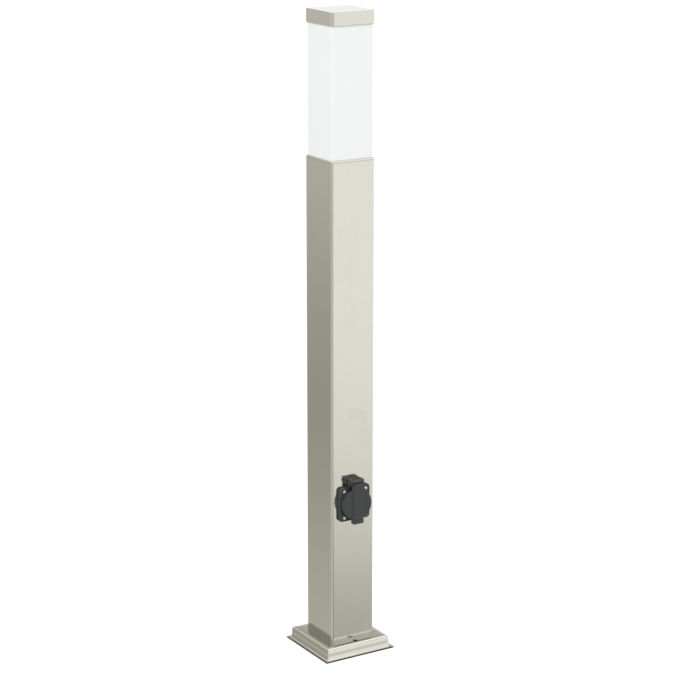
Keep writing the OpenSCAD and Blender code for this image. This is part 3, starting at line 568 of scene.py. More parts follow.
# Corners (a, b, radius) as an outline with rounded corners
def rounded(corners, steps=4):
    outline = []
    for i, (a, b, radius) in enumerate(corners):
        here = Vector((a, b))
        back = (Vector(corners[i - 1][:2]) - here).normalized()
        on = (Vector(corners[(i + 1) % len(corners)][:2]) - here).normalized()
        if not radius:
            outline.append(here)
            continue
        half = back.angle(on) / 2
        middle = here + (back + on).normalized() * radius / math.sin(half)
        first, last = (here + way * radius / math.tan(half) - middle for way in (back, on))
        start = math.atan2(first.y, first.x)
        sweep = (math.atan2(last.y, last.x) - start + math.pi) % (2 * math.pi) - math.pi
        for k in range(steps + 1):
            turn = start + sweep * k / steps
            outline.append(middle + Vector((math.cos(turn), math.sin(turn))) * radius)
    return outline


# A level square with rounded corners, and `along` points between them on each side
def square_loop(half, radius, z, steps=8, along=0):
    radius = max(radius, LEAST_CORNER)
    loop = []
    for quarter in range(4):
        middle = math.radians(45 + 90 * quarter)
        out_to = (half - radius) * math.sqrt(2)
        for k in range(steps + 1):
            turn = math.radians(90 * (quarter + k / steps))
            loop.append((out_to * math.cos(middle) + radius * math.cos(turn),
                         out_to * math.sin(middle) + radius * math.sin(turn), z))
        flat = math.radians(90 * (quarter + 1))
        for k in range(1, along + 1):
            shift = (half - radius) * (1 - 2 * k / (along + 1))
            loop.append((half * math.cos(flat) + shift * math.sin(flat),
                         half * math.sin(flat) - shift * math.cos(flat), z))
    return loop


print("a square of 10 mm has", len(square_loop(5, 1, 0)), "points")

# %% Skins
# Loops joined in order: closed on themselves ("ring"), at both ends ("caps") or not at all
def loft(loops, ends="ring"):
    count, rows = len(loops[0]), len(loops)
    points = [point for loop in loops for point in loop]
    faces = []
    for i in range(rows if ends == "ring" else rows - 1):
        a, b = i * count, (i + 1) % rows * count
        faces += [(a + k, a + (k + 1) % count, b + (k + 1) % count, b + k) for k in range(count)]
    if ends == "caps":
        faces += [tuple(range(count)), tuple(range((rows - 1) * count, rows * count))]
    return points, faces


def turn_loops(profile, steps=72):
    turns = [2 * math.pi * k / steps for k in range(steps)]
    return [[(max(r, 0) * math.cos(t), max(r, 0) * math.sin(t), z) for t in turns] for r, z in profile]


def lathe(profile, steps=72, ends="none"):
    return loft(turn_loops(profile, steps), ends)


print("a turned disc has", len(lathe([(0, 0), (5, 0), (5, 1), (0, 1)])[1]), "faces")

# %% Blocks and prisms
def skin_of(work):
    work.verts.index_update()
    skin = [tuple(v.co) for v in work.verts], [tuple(v.index for v in f.verts) for f in work.faces]
    work.free()
    return skin


def soften(work, edges, radius, steps):
    bmesh.ops.bevel(work, geom=edges, offset=radius, segments=steps, profile=0.5, affect="EDGES",
                    clamp_overlap=True)


def block(low, high, radius=0.0, steps=3):
    work = bmesh.new()
    bmesh.ops.create_cube(work, size=1)
    for vert in work.verts:
        vert.co = [a + (b - a) * (c + 0.5) for a, b, c in zip(low, high, vert.co)]
    if radius:
        soften(work, work.edges[:], radius, steps)
    return skin_of(work)


def prism(outline, x0, x1, radius=0.0, steps=2):
    work = bmesh.new()
    ends = [[work.verts.new((x, *point)) for point in outline] for x in (x0, x1)]
    caps = [work.faces.new(end) for end in ends]
    for k in range(len(outline)):
        j = (k + 1) % len(outline)
        work.faces.new((ends[0][k], ends[0][j], ends[1][j], ends[1][k]))
    if radius:
        soften(work, [edge for cap in caps for edge in cap.edges], radius, steps)
    return skin_of(work)


print("a softened block has", len(block((0, 0, 0), (9, 9, 9), 1)[1]), "faces")

# %% Meshes
MERGE, SLIVER = 1e-7, 1e-8


def apply_modifiers(piece):
    bpy.context.view_layer.update()
    graph = bpy.context.evaluated_depsgraph_get()
    fresh = bpy.data.meshes.new_from_object(
        piece.evaluated_get(graph), preserve_all_data_layers=True, depsgraph=graph)
    piece.modifiers.clear()
    spent, piece.data = piece.data, fresh
    name = spent.name
    bpy.data.meshes.remove(spent)
    fresh.name = name


def raw_solid(name, skin, place):
    points, faces = skin
    work = bmesh.new()
    made = [work.verts.new(Vector(place(*p) if place else p) * MM) for p in points]
    for face in faces:
        work.faces.new([made[i] for i in face])
    bmesh.ops.remove_doubles(work, verts=work.verts[:], dist=MERGE)
    bmesh.ops.dissolve_degenerate(work, edges=work.edges[:], dist=SLIVER)
    bmesh.ops.recalc_face_normals(work, faces=work.faces[:])
    mesh = bpy.data.meshes.new(name)
    work.to_mesh(mesh)
    work.free()
    piece = bpy.data.objects.new(name, mesh)
    scene.collection.objects.link(piece)
    return piece


print("mesh helpers:", [h.__name__ for h in (apply_modifiers, raw_solid)])

# %% Solids and their dress
SHARP_FROM = math.radians(35)


# One skin as a piece, with other skins joined on and cut away
def solid(name, skin, place=None, cut=(), join_on=()):
    piece = raw_solid(name, skin, place)
    tools = [(raw_solid("tool", other, place), "UNION") for other in join_on]
    tools += [(raw_solid("tool", other, place), "DIFFERENCE") for other in cut]
    for tool, operation in tools:
        step = piece.modifiers.new("step", "BOOLEAN")
        step.object, step.operation, step.solver = tool, operation, "EXACT"
    if tools:
        apply_modifiers(piece)
    for tool, _ in tools:
        bpy.data.meshes.remove(tool.data)
    piece.data.shade_smooth()
    piece.data.set_sharp_from_angle(angle=SHARP_FROM)
    weigh = piece.modifiers.new("weigh", "WEIGHTED_NORMAL")
    weigh.keep_sharp = True
    apply_modifiers(piece)
    return piece


def dress(piece, body, slot, node):
    piece.data.materials.clear()
    piece.data.materials.append(materials[slot])
    if body:
        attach(piece, body)
    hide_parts(node)
    print(piece.name, "faces", len(piece.data.polygons), "for", node)
    return piece


print("piece helpers:", [h.__name__ for h in (solid, dress)])

# %% [markdown]
# ## Post tube
# The tube is square steel tube, 76 mm over its faces, with corners that were rolled to a 4 mm
# radius. One closed section carried round the square gives the wall, and its sawn ends are eased
# by under half a millimetre, so that a thin line shows where the tube meets its neighbours. The
# round opening for the outlet is cut afterwards, as a hole saw would.

# %% Sections round a square
# Each corner of the section is its half width, its level, its own fillet and the square's corner
def ring_loops(corners):
    loops = []
    for i, (half, z, fillet, corner) in enumerate(corners):
        before, after = corners[i - 1][:2], corners[(i + 1) % len(corners)][:2]
        arc = rounded([(*before, 0), (half, z, fillet), (*after, 0)])[1:-1]
        loops += [square_loop(a, corner + a - half, b) for a, b in arc]
    return loops


def upright(radius, low, high, x=0.0, y=0.0):
    points, faces = lathe([(radius, low), (radius, high)], 48, "caps")
    return [(px + x, py + y, pz) for px, py, pz in points], faces


# A place on the outlet, across, up and off the tube's face, in the post's own frame
def out(x, y, z):
    return x, -TUBE_HALF - z, OUTLET_Z + y


def outward(radius, low, high, x=0.0, y=0.0):
    points, faces = upright(radius, low, high, x, y)
    return [out(*p) for p in points], faces


print("the outlet's middle on the tube's face:", out(0, 0, 0))

# %% Tube
SHEET, TUBE_CORNER = 1.5, 4.0
TUBE_IN, TUBE_IN_CORNER = TUBE_HALF - SHEET, TUBE_CORNER - SHEET
OUTLET_HOLE_R, SCREW_HOLE_R = 22.25, 2.1
CUT_BACK, CUT_FRONT = -6.0, 4.0
FLANGE_SCREWS = [(x * 19.0, y * 21.0) for x in (-1, 1) for y in (-1, 1)]

wall_section = [(TUBE_HALF, TUBE_LOW, 0.3, TUBE_CORNER), (TUBE_HALF, TUBE_TOP, 0.4, TUBE_CORNER),
                (TUBE_IN, TUBE_TOP, 0.3, TUBE_IN_CORNER), (TUBE_IN, TUBE_LOW, 0.3, TUBE_IN_CORNER)]
screw_holes = [outward(SCREW_HOLE_R, CUT_BACK, CUT_FRONT, x, y) for x, y in FLANGE_SCREWS]
tube = solid("tube_wall", loft(ring_loops(wall_section)),
             cut=[outward(OUTLET_HOLE_R, CUT_BACK, CUT_FRONT)] + screw_holes)
dress(tube, "post", "stainless", "post_tube")

# %% [markdown]
# ## Collar, light head and cap
# The collar plugs into the tube and shows as a bright rim, with a spigot on top that the light
# head slips over. The head is an opal square tube, and the cap is a deep-drawn steel tray with
# soft upper edges. All three are sections round a square again. The cap's skin starts at the
# middle of its ceiling and ends at the middle of its top, so it needs no hole.

# %% Collar
PLUG_LOW, SPIGOT_TOP = reach("top_collar")[1:]
RIM_TOP = reach("diffuser_seal")[1]
RIM_ROUND, EDGE = 2.0, 0.4
SPIGOT, SPIGOT_CORNER = 32.3, 3.0
SPIGOT_IN, SPIGOT_IN_CORNER = SPIGOT - SHEET, SPIGOT_CORNER - SHEET
OPENING, OPENING_CORNER = 22.0, 4.0
PLUG, PLUG_CORNER = TUBE_IN - 0.1, TUBE_IN_CORNER - 0.1
PLUG_IN, PLUG_IN_CORNER = PLUG - 2.0, 0.5
BRIDGE_SCREWS, BRIDGE_HOLE_R = (-26.0, 26.0), 2.2

collar_section = [
    (TUBE_HALF, TUBE_TOP, EDGE, TUBE_CORNER), (TUBE_HALF, RIM_TOP, RIM_ROUND, TUBE_CORNER),
    (SPIGOT, RIM_TOP, 0, SPIGOT_CORNER), (SPIGOT, SPIGOT_TOP, EDGE, SPIGOT_CORNER),
    (SPIGOT_IN, SPIGOT_TOP, EDGE, SPIGOT_IN_CORNER), (SPIGOT_IN, RIM_TOP, 0, SPIGOT_IN_CORNER),
    (OPENING, RIM_TOP, EDGE, OPENING_CORNER), (OPENING, TUBE_TOP, EDGE, OPENING_CORNER),
    (PLUG_IN, TUBE_TOP, 0, PLUG_IN_CORNER), (PLUG_IN, PLUG_LOW, EDGE, PLUG_IN_CORNER),
    (PLUG, PLUG_LOW, 0.5, PLUG_CORNER), (PLUG, TUBE_TOP, 0, PLUG_CORNER)]
collar = solid("collar_rim", loft(ring_loops(collar_section)),
               cut=[upright(BRIDGE_HOLE_R, TUBE_TOP - 8, RIM_TOP + 9, x) for x in BRIDGE_SCREWS])
dress(collar, "post", "stainless", "top_collar")

# %% Light head
HEAD_HALF, HEAD_LOW, HEAD_TOP = reach("diffuser")
HEAD_WALL, HEAD_CORNER = 2.5, 4.0
HEAD_IN, HEAD_IN_CORNER = HEAD_HALF - HEAD_WALL, HEAD_CORNER - HEAD_WALL

head = solid("opal_tube", loft(ring_loops([
    (HEAD_HALF, HEAD_LOW, 0.5, HEAD_CORNER), (HEAD_HALF, HEAD_TOP, 0.5, HEAD_CORNER),
    (HEAD_IN, HEAD_TOP, 0.4, HEAD_IN_CORNER), (HEAD_IN, HEAD_LOW, 0.4, HEAD_IN_CORNER)])))
dress(head, "head", "opal", "diffuser")

# %% Cap
CAP_HALF, CAP_LOW, CAP_TOP = reach("cap")
CAP_CEILING, CAP_CORNER, CAP_ROUND = CAP_TOP - SHEET, 7.0, 1.1
CAP_IN, CAP_IN_CORNER = CAP_HALF - SHEET, CAP_CORNER - SHEET
CAP_MIDDLE, CAP_MIDDLE_CORNER = 20.0, 5.0

cap_section = [
    (CAP_MIDDLE, CAP_CEILING, 0, CAP_MIDDLE_CORNER), (CAP_IN, CAP_CEILING, 0.6, CAP_IN_CORNER),
    (CAP_IN, CAP_LOW, 0.4, CAP_IN_CORNER), (CAP_HALF, CAP_LOW, 0.5, CAP_CORNER),
    (CAP_HALF, CAP_TOP, CAP_ROUND, CAP_CORNER), (CAP_MIDDLE, CAP_TOP, 0, CAP_MIDDLE_CORNER)]
cap = solid("cap_tray", loft(ring_loops(cap_section), "caps"))
dress(cap, "head", "stainless", "cap")

# %% [markdown]
# ## Foot
# The foot is pressed from one sheet: a flat lip, a small root radius, sides that lean out a
# little, a rolled upper edge and a ledge that falls away slightly towards it. A press never leaves
# such a side quite flat, so its section sways by a tenth of a millimetre, and that is what breaks
# its reflection into bands. The holes for the two ground anchors, the screws and the cable go
# through afterwards.

# %% Foot section
BOX_HALF, LIP_EASE, LIP_CORNER = 55.5, 0.15, 0.5
ROOT_R, ROOT_CORNER, SIDE_CORNER = 1.2, 1.5, 1.3
SIDE_LOW, SIDE_TOP, FLARE = LIP_T + ROOT_R, 16.0, 1.2
SIDE_RISE, LEAN, SWAY = SIDE_TOP - SIDE_LOW, FLARE / SIDE_TOP, 0.05
ROLL, ROLL_HALF, ROLL_Z, ROLL_CORNER = 2.6, 52.85, 16.42, 0.9
FALL, FALL_FROM, FALL_TO = 0.14, 46.0, 53.21
LEDGE_CORNER, LEDGE_CORNER_FROM, INSIDE_CORNER = 0.6, 51.0, 1.0


def side_at(z):
    t = min(max((z - SIDE_LOW) / SIDE_RISE, 0), 1)
    sway = SWAY * SIDE_RISE / (2 * math.pi) * math.sin(2 * math.pi * t)
    return BOX_HALF + LEAN * (SIDE_TOP - z) - sway


def ledge_at(half):
    return FOOT_TOP - FALL * (half - FALL_FROM) ** 2 / (2 * (FALL_TO - FALL_FROM))


lip = [(FOOT_HALF, GROUND_Z, LIP_CORNER), (FOOT_HALF, LIP_T - LIP_EASE, LIP_CORNER),
       (FOOT_HALF - LIP_EASE, LIP_T, LIP_CORNER)]
root = [(side_at(SIDE_LOW) + ROOT_R - ROOT_R * math.sin(t), SIDE_LOW - ROOT_R * math.cos(t), ROOT_CORNER)
        for t in np.linspace(0, math.pi / 2, 6)]
side = [(side_at(z), z, SIDE_CORNER) for z in np.linspace(SIDE_LOW + 0.8, SIDE_TOP + 0.5, 13)]
roll = [(ROLL_HALF + ROLL * math.cos(t), ROLL_Z + ROLL * math.sin(t),
         SIDE_CORNER + ROLL_CORNER * math.sin(t)) for t in np.linspace(LEAN, math.pi / 2 - FALL, 9)]
ledge = [(half, ledge_at(half), max(LEDGE_CORNER, half - LEDGE_CORNER_FROM))
         for half in np.linspace(FALL_TO, FALL_FROM, 9)[1:]]
inside = [(51.5, FOOT_TOP - SHEET, INSIDE_CORNER), (53.0, 17.4, INSIDE_CORNER),
          (BOX_HALF - SHEET, SIDE_TOP, INSIDE_CORNER), (BOX_HALF - SHEET + FLARE, GROUND_Z, INSIDE_CORNER)]
print("foot section of", len(inside + lip + root + side + roll + ledge), "points")

# %% Foot
BASE_SCREWS = [(25.0 * x, 25.0 * y) for x in (-1, 1) for y in (-1, 1)]
BASE_HOLE_R, INLET_R = 2.7, 9.1
PUNCH_LOW, PUNCH_TOP = 10, 25

holes = [(ANCHOR_R, 0, -ANCHOR_OUT), (ANCHOR_R, 0, ANCHOR_OUT)]
holes += [(BASE_HOLE_R, x, y) for x, y in BASE_SCREWS]
holes += [(INLET_R, 0, 0)]
foot_loops = [square_loop(half, corner, z) for half, z, corner in inside + lip + root + side + roll + ledge]
foot = solid("foot_pressing", loft(foot_loops, "caps"),
             cut=[upright(radius, PUNCH_LOW, PUNCH_TOP, x, y) for radius, x, y in holes])
dress(foot, "post", "stainless", "foot")

# %% [markdown]
# ## Outlet body
# The outlet's body is one moulding: a rounded square flange, a collar round the plug recess and
# the cup behind it. One loft makes all of that, because a square loop and a round one can have
# the same number of points. The hinge's ears and the web behind them are joined on with a
# boolean, so that the body stays one piece.

# %% Flange and recess
FLANGE_HALF, FLANGE_CORNER, FLANGE_FRONT, FLANGE_ROUND = reach("outlet_frame")[0], 6.0, 6.0, 2.1
FLANGE_BACK = depth("flange_seal")[1]
RECESS_R, RIM_R, RIM_FRONT = 19.75, 21.05, 11.0
CUP_R, CUP_LIP_R, CUP_BACK = 21.75, 18.05, depth("outlet_frame")[0]
INSERT_BACK = depth("outlet_insert")[0]


def flange_loop(inset, z):
    return square_loop(FLANGE_HALF - inset, FLANGE_CORNER - inset, z, 8, 15)


def round_loop(radius, z):
    loop = []
    for x, y, _ in flange_loop(0, 0):
        off = math.hypot(x, y)
        loop.append((radius * x / off, radius * y / off, z))
    return loop


body_loops = [round_loop(CUP_R, FLANGE_BACK)]
body_loops += [flange_loop(0.3, FLANGE_BACK), flange_loop(0, FLANGE_BACK + 0.4)]
for turn in np.linspace(0, math.pi / 2, 8):
    inset, drop = FLANGE_ROUND * (1 - math.cos(turn)), FLANGE_ROUND * (1 - math.sin(turn))
    body_loops.append(flange_loop(inset, FLANGE_FRONT - drop))
body_loops += [round_loop(radius, z) for radius, z in (
    (RIM_R + 0.3, FLANGE_FRONT), (RIM_R + 0.05, FLANGE_FRONT + 0.25), (RIM_R, RIM_FRONT - 0.4),
    (RIM_R - 0.35, RIM_FRONT), (RECESS_R + 0.3, RIM_FRONT), (RECESS_R, RIM_FRONT - 0.3),
    (RECESS_R, INSERT_BACK), (CUP_LIP_R, INSERT_BACK), (CUP_LIP_R, CUP_BACK), (CUP_R, CUP_BACK))]
print("outlet body of", len(body_loops), "loops with", len(body_loops[0]), "points each")

# %% Hinge
hinge = next(joint for joint in frame["joints"] if joint["name"] == "lid_hinge")
PIN_UP = round(hinge["pos_m"][2] / MM - OUTLET_Z, 2)
PIN_OUT = round(-hinge["pos_m"][1] / MM - TUBE_HALF, 2)
PIN_R, BARREL_R, KNUCKLE = 1.5, 5.1, 6.3
EAR_IN, EAR_OUT, EAR_LOW, EAR_TOP = 6.6, 10.5, 22.5, 39.9
EAR_FROM, EAR_SWEEP = 115.6, -216.9
EAR_TOE = ((30.3, 5.2), (26.5, FLANGE_FRONT))
PAST = 20.0
# Corners of the groove between lid and hinge: off the pin and up from it
GROOVE = ((2.3, -1.9), (5.2, -0.1), (12, -0.1), (12, 2.3), (2.3, 2.3))


def pin_round(radius, start=0.0, sweep=360.0, steps=48):
    turns = [math.radians(start + sweep * k / steps) for k in range(steps + (sweep < 360))]
    return [(PIN_UP + radius * math.sin(t), PIN_OUT + radius * math.cos(t)) for t in turns]


def pin_rod(radius, x0, x1, edge=0.0):
    return prism(pin_round(radius), x0, x1, edge)


hinge_groove = prism([(PIN_UP + up, PIN_OUT + off) for off, up in GROOVE], -PAST, PAST)
ear_outline = [(EAR_TOP, FLANGE_BACK), *pin_round(BARREL_R, EAR_FROM, EAR_SWEEP, 28), *EAR_TOE,
               (EAR_LOW, FLANGE_FRONT), (EAR_LOW, FLANGE_BACK)]
ears = [prism(ear_outline, x0, x1, 0.45) for x0, x1 in ((EAR_IN, EAR_OUT), (-EAR_OUT, -EAR_IN))]
print("pin", PIN_UP, "mm over the outlet's middle and", PIN_OUT, "mm off the tube")

# %% Outlet body
web = block((-EAR_OUT, EAR_LOW, FLANGE_BACK + 0.2), (EAR_OUT, EAR_TOP, FLANGE_FRONT + 0.1), 0.4)
flange_holes = [upright(SCREW_HOLE_R, 0, FLANGE_FRONT + 1, x, y) for x, y in FLANGE_SCREWS]
body = solid("outlet_body", loft(body_loops), place=out, join_on=ears + [web],
             cut=flange_holes + [hinge_groove, pin_rod(PIN_R + 0.02, -PAST, PAST)])
dress(body, "post", "charcoal_plastic", "outlet_frame")

# %% [markdown]
# ## Lid
# The lid is a shallow round cap. A flat band crosses it from the hinge, ends in a finger tab at
# the bottom, and carries the hinge's knuckle at the top. The disc is turned on its axis, the band
# has sloping sides so that it leaves its mould, the tab is a softened block and the knuckle is a
# short barrel. They are joined, and then the room for ears, pin and spring is cut away.

# %% Lid pieces
LID_R, LID_BOTTOM, _ = reach("lid")
LID_BACK, BAND_FRONT = depth("lid")
LID_FRONT, LID_WALL = 15.0, 2.0
LID_IN, LID_CEILING = LID_R - LID_WALL, LID_FRONT - LID_WALL
BAND_FOOT, BAND_HALF, BAND_LOW, BAND_TOP = 10.0, 7.25, 1 - LID_R, PIN_UP - 0.1
TAB_HALF, TAB_LOW, TAB_TOP, TAB_BACK, TAB_FRONT = 9.0, LID_BOTTOM - OUTLET_Z, -23.8, 9.0, 18.0


# The band's outline at one level; its two ends draw back over the last millimetre
def band_loop(half, z):
    ease = max(0, z - (BAND_FRONT - 0.9))
    low, top = BAND_LOW + ease, BAND_TOP - ease
    return [(-half, low, z), (half, low, z), (half, top, z), (-half, top, z)]


disc = rounded([(0, LID_FRONT, 0), (LID_R, LID_FRONT, 1.2), (LID_R, LID_BACK, 0.4), (LID_IN, LID_BACK, 0.4),
                (LID_IN, LID_CEILING, 0.6), (0, LID_CEILING, 0)], 5)
band_side = rounded([(0, LID_CEILING, 0), (BAND_FOOT, LID_CEILING, 0), (BAND_FOOT, LID_FRONT + 0.4, 0.3),
                     (BAND_HALF, BAND_FRONT, 1.2), (0, BAND_FRONT, 0)])[1:-1]
band = loft([band_loop(*point) for point in band_side], "caps")
tab = block((-TAB_HALF, TAB_LOW, TAB_BACK), (TAB_HALF, TAB_TOP, TAB_FRONT), 0.9)
knuckle = pin_rod(BARREL_R, -KNUCKLE, KNUCKLE, 0.3)
print("lid of", 2 * LID_R, "mm with a band of", 2 * BAND_FOOT, "mm")

# %% Lid
COIL_ROOM, COIL_ROOM_R = 3.5, 3.8
WEB_ROOM_LOW, WEB_ROOM_TOP = 22.0, 29.4
LEG_REACH = 2 * BARREL_R
POST_LEG_FRONT, LID_LEG_TOP, LID_LEG_FRONT = PIN_OUT - 2.6, PIN_UP - 2.2, PIN_OUT + 1.8

leg_corner = (-COIL_ROOM, PIN_UP - LEG_REACH, PIN_OUT - LEG_REACH)
ear_room = [pin_rod(BARREL_R + 0.4, KNUCKLE, PAST), pin_rod(BARREL_R + 0.4, -PAST, -KNUCKLE)]
pin_room = pin_rod(PIN_R + 0.05, -PAST, PAST)
coil_room = [pin_rod(COIL_ROOM_R, -COIL_ROOM, COIL_ROOM),
             block(leg_corner, (COIL_ROOM, PIN_UP + LEG_REACH, POST_LEG_FRONT)),
             block(leg_corner, (COIL_ROOM, LID_LEG_TOP, LID_LEG_FRONT))]
web_room = block((-PAST, WEB_ROOM_LOW, -1), (PAST, WEB_ROOM_TOP, LID_CEILING))
lid = solid("lid_shell", lathe(disc, 96), place=out, join_on=[band, tab, knuckle],
            cut=[*ear_room, pin_room, *coil_room, web_room, hinge_groove])
dress(lid, "lid", "charcoal_plastic", "lid")

# %% [markdown]
# ## Lid seal and hinge pin
# A soft ring in the lid shuts on the rim of the recess, and a plain steel pin carries the lid.
# Both are turned shapes. Their edges are eased, because a moulded ring and a cropped pin have no
# sharp ones.

# %% Seal and pin
RING_IN, RING_OUT = 19.25, 22.6
RING_BACK, RING_FRONT = depth("lid_seal")
PIN_HALF = 9.6

ring = rounded([(RING_IN, RING_BACK, 0.5), (RING_OUT, RING_BACK, 0.5),
                (RING_OUT, RING_FRONT, 0.2), (RING_IN, RING_FRONT, 0.2)], 3)
dress(solid("lid_ring", lathe(ring, ends="ring"), place=out), "lid", "rubber", "lid_seal")
rod = pin_rod(PIN_R, -PIN_HALF, PIN_HALF, 0.25)
dress(solid("hinge_rod", rod, place=out), "post", "screw_steel", "hinge_pin")

# %% [markdown]
# ## Lamp and holder
# A screw lamp stands in a white holder inside the light head, and shows when the head is lifted
# off. Its cap has a rolled thread. That is a turned skin too, only with a radius that rises and
# falls along a helix, so each row of points is shifted round a little from the one below.

# %% Lamp cap
SCREW_R, LAMP_LOW, SCREW_TOP = reach("lamp_cap")
THREAD_DEPTH, THREAD_PITCH, THREAD_FADE = 0.9, 3.63, 1.5
# The contact and the glass ring under the thread: radius, and height over the lamp's lowest point
LAMP_TIP = ((0, 0), (4.0, 0), (4.5, 0.4), (4.5, 2.0), (10.6, 3.2), (12.9, 4.4))


def thread_loops(low, high, rows=64, steps=72):
    loops = []
    for row in range(rows + 1):
        z = low + (high - low) * row / rows
        cut = THREAD_DEPTH * min(1, (z - low) / THREAD_FADE, (high - z) / THREAD_FADE)
        loop = []
        for t in (k / steps for k in range(steps)):
            r = SCREW_R - cut * (0.5 - 0.5 * math.cos(2 * math.pi * (z / THREAD_PITCH - t)))
            loop.append((r * math.cos(2 * math.pi * t), r * math.sin(2 * math.pi * t), z))
        loops.append(loop)
    return loops


lamp_screw = turn_loops([(r, LAMP_LOW + up) for r, up in LAMP_TIP])
lamp_screw += thread_loops(LAMP_LOW + 5, SCREW_TOP - 3)
lamp_screw += turn_loops([(SCREW_R, SCREW_TOP - 2.5), (SCREW_R, SCREW_TOP), (0, SCREW_TOP)])
dress(solid("lamp_screw_cap", loft(lamp_screw, "none")), "post", "nickel", "lamp_cap")

# %% Lamp
SHELL_R, _, SHELL_TOP = reach("lamp_body")
GLOBE_R, NECK_R = 29.0, 25.5
GLOBE_Z = reach("lamp_globe")[2] - GLOBE_R
GLOBE_FROM = math.radians(-28.4)

shell = rounded([(0, SCREW_TOP, 0), (14.1, SCREW_TOP, 0.5), (16.1, SCREW_TOP + 4, 2.0),
                 (SHELL_R, SHELL_TOP, 0.5), (0, SHELL_TOP, 0)])
dress(solid("lamp_shell", lathe(shell)), "post", "white_plastic", "lamp_body")
globe = [(0, SHELL_TOP), (NECK_R - 0.2, SHELL_TOP), (NECK_R, SHELL_TOP + 0.4), (NECK_R, SHELL_TOP + 5.1)]
globe += [(GLOBE_R * math.cos(t), GLOBE_Z + GLOBE_R * math.sin(t))
          for t in np.linspace(GLOBE_FROM, math.pi / 2, 24)]
dress(solid("lamp_bulb", lathe(globe)), "post", "frosted", "lamp_globe")

# %% Holder
HOLDER_R, HOLDER_LOW, HOLDER_TOP = reach("lampholder")
HOLDER_H = HOLDER_TOP - HOLDER_LOW
WAIST_R, GROOVE_R, BORE_R, NIPPLE_R, WIRE_HOLE_R = 16.0, HOLDER_R - 0.5, 14.7, 5.1, 3.5

holder = [(NIPPLE_R, 0, 0), (WAIST_R, 0, 0.8), (WAIST_R, 5, 0.4), (HOLDER_R, 5.7, 0.8),
          (HOLDER_R, 12.5, 0.3), (GROOVE_R, 12.9, 0.2), (GROOVE_R, 14.1, 0.2), (HOLDER_R, 14.5, 0.3),
          (HOLDER_R, HOLDER_H, 1.0), (BORE_R, HOLDER_H, 0.6), (BORE_R, 6, 0.4), (WIRE_HOLE_R, 6, 0.2),
          (WIRE_HOLE_R, 4, 0), (NIPPLE_R, 4, 0)]
holder = rounded([(radius, HOLDER_LOW + up, fillet) for radius, up, fillet in holder])
dress(solid("holder_body", lathe(holder, ends="ring")), "post", "white_plastic", "lampholder")

# %% [markdown]
# ## Screws
# Twenty-three pan-head screws hold the post together, in eight sizes. Each size is modelled once,
# with a domed head and a cross recess. Geometry Nodes then set a copy on each point, along the
# direction stored there as `aim`. A fixed seed turns the crosses, since no two screws stop at the
# same angle.

# %% Screw tree
screw_tree, given, made = node_group(
    "set_screws", "GeometryNodeTree",
    {"Geometry": "Geometry", "Screw": "Object", "Seed": "Int", "Finish": "Material"},
    {"Geometry": "Geometry"})
pattern = add(screw_tree, "GeometryNodeObjectInfo")
join(screw_tree, given["Screw"], pattern.inputs["Object"])
aim = add(screw_tree, "GeometryNodeInputNamedAttribute", data_type="FLOAT_VECTOR", Name="aim")
along = add(screw_tree, "FunctionNodeAlignRotationToVector", axis="Z")
join(screw_tree, aim.outputs["Attribute"], along.inputs["Vector"])
chance = add(screw_tree, "FunctionNodeRandomValue", data_type="FLOAT")
chance.inputs[3].default_value = 2 * math.pi
join(screw_tree, given["Seed"], chance.inputs["Seed"])
spin = add(screw_tree, "FunctionNodeAxisAngleToRotation", Axis=(0, 0, 1))
join(screw_tree, chance.outputs[1], spin.inputs["Angle"])
stance = add(screw_tree, "FunctionNodeRotateRotation", rotation_space="LOCAL")
join(screw_tree, along.outputs[0], stance.inputs[0])
join(screw_tree, spin.outputs[0], stance.inputs[1])
copies = add(screw_tree, "GeometryNodeInstanceOnPoints")
join(screw_tree, given["Geometry"], copies.inputs["Points"])
join(screw_tree, pattern.outputs["Geometry"], copies.inputs["Instance"])
join(screw_tree, stance.outputs[0], copies.inputs["Rotation"])


# The end of both trees: real faces with their material, for the tree's own output
def hand_on(tree, source, finish, target):
    real = add(tree, "GeometryNodeRealizeInstances")
    coated = add(tree, "GeometryNodeSetMaterial")
    join(tree, source, real.inputs[0])
    join(tree, real.outputs[0], coated.inputs["Geometry"])
    join(tree, finish, coated.inputs["Material"])
    join(tree, coated.outputs[0], target)


hand_on(screw_tree, copies.outputs[0], given["Finish"], made["Geometry"])
print("screw tree of", len(screw_tree.nodes), "nodes")

# %% Pieces grown by a tree
def grow(name, points, tree, edges=(), aims=(), **values):
    mesh = bpy.data.meshes.new(name)
    mesh.from_pydata([Vector(p) * MM for p in points], edges, [])
    if aims:
        aim = mesh.attributes.new("aim", "FLOAT_VECTOR", "POINT")
        aim.data.foreach_set("vector", np.array(aims, dtype=float).ravel())
    piece = bpy.data.objects.new(name, mesh)
    scene.collection.objects.link(piece)
    step = piece.modifiers.new("grow", "NODES")
    step.node_group = tree
    for item in tree.interface.items_tree:
        if item.in_out == "INPUT" and item.name in values:
            step[item.identifier] = values[item.name]
    apply_modifiers(piece)
    return piece


# One screw, with its seat at the origin and its head upwards
def screw_pattern(shank, head, height, length):
    dome = [(head / 2 * math.cos(t), height * (0.4 + 0.6 * math.sin(t)))
            for t in np.linspace(0, math.pi / 2, 8)]
    profile = [(0, -length), (shank / 2 - 0.3, -length), (shank / 2, -length + 0.4), (shank / 2, 0),
               (head / 2 - 0.15, 0), (head / 2, 0.15), *dome]
    slot_length, slot_width = head * 0.3, head * 0.065
    slots = [block((-a, -b, height * 0.45), (a, b, height + 1))
             for a, b in ((slot_length, slot_width), (slot_width, slot_length))]
    return solid("screw_pattern", lathe(profile, 32), cut=slots)


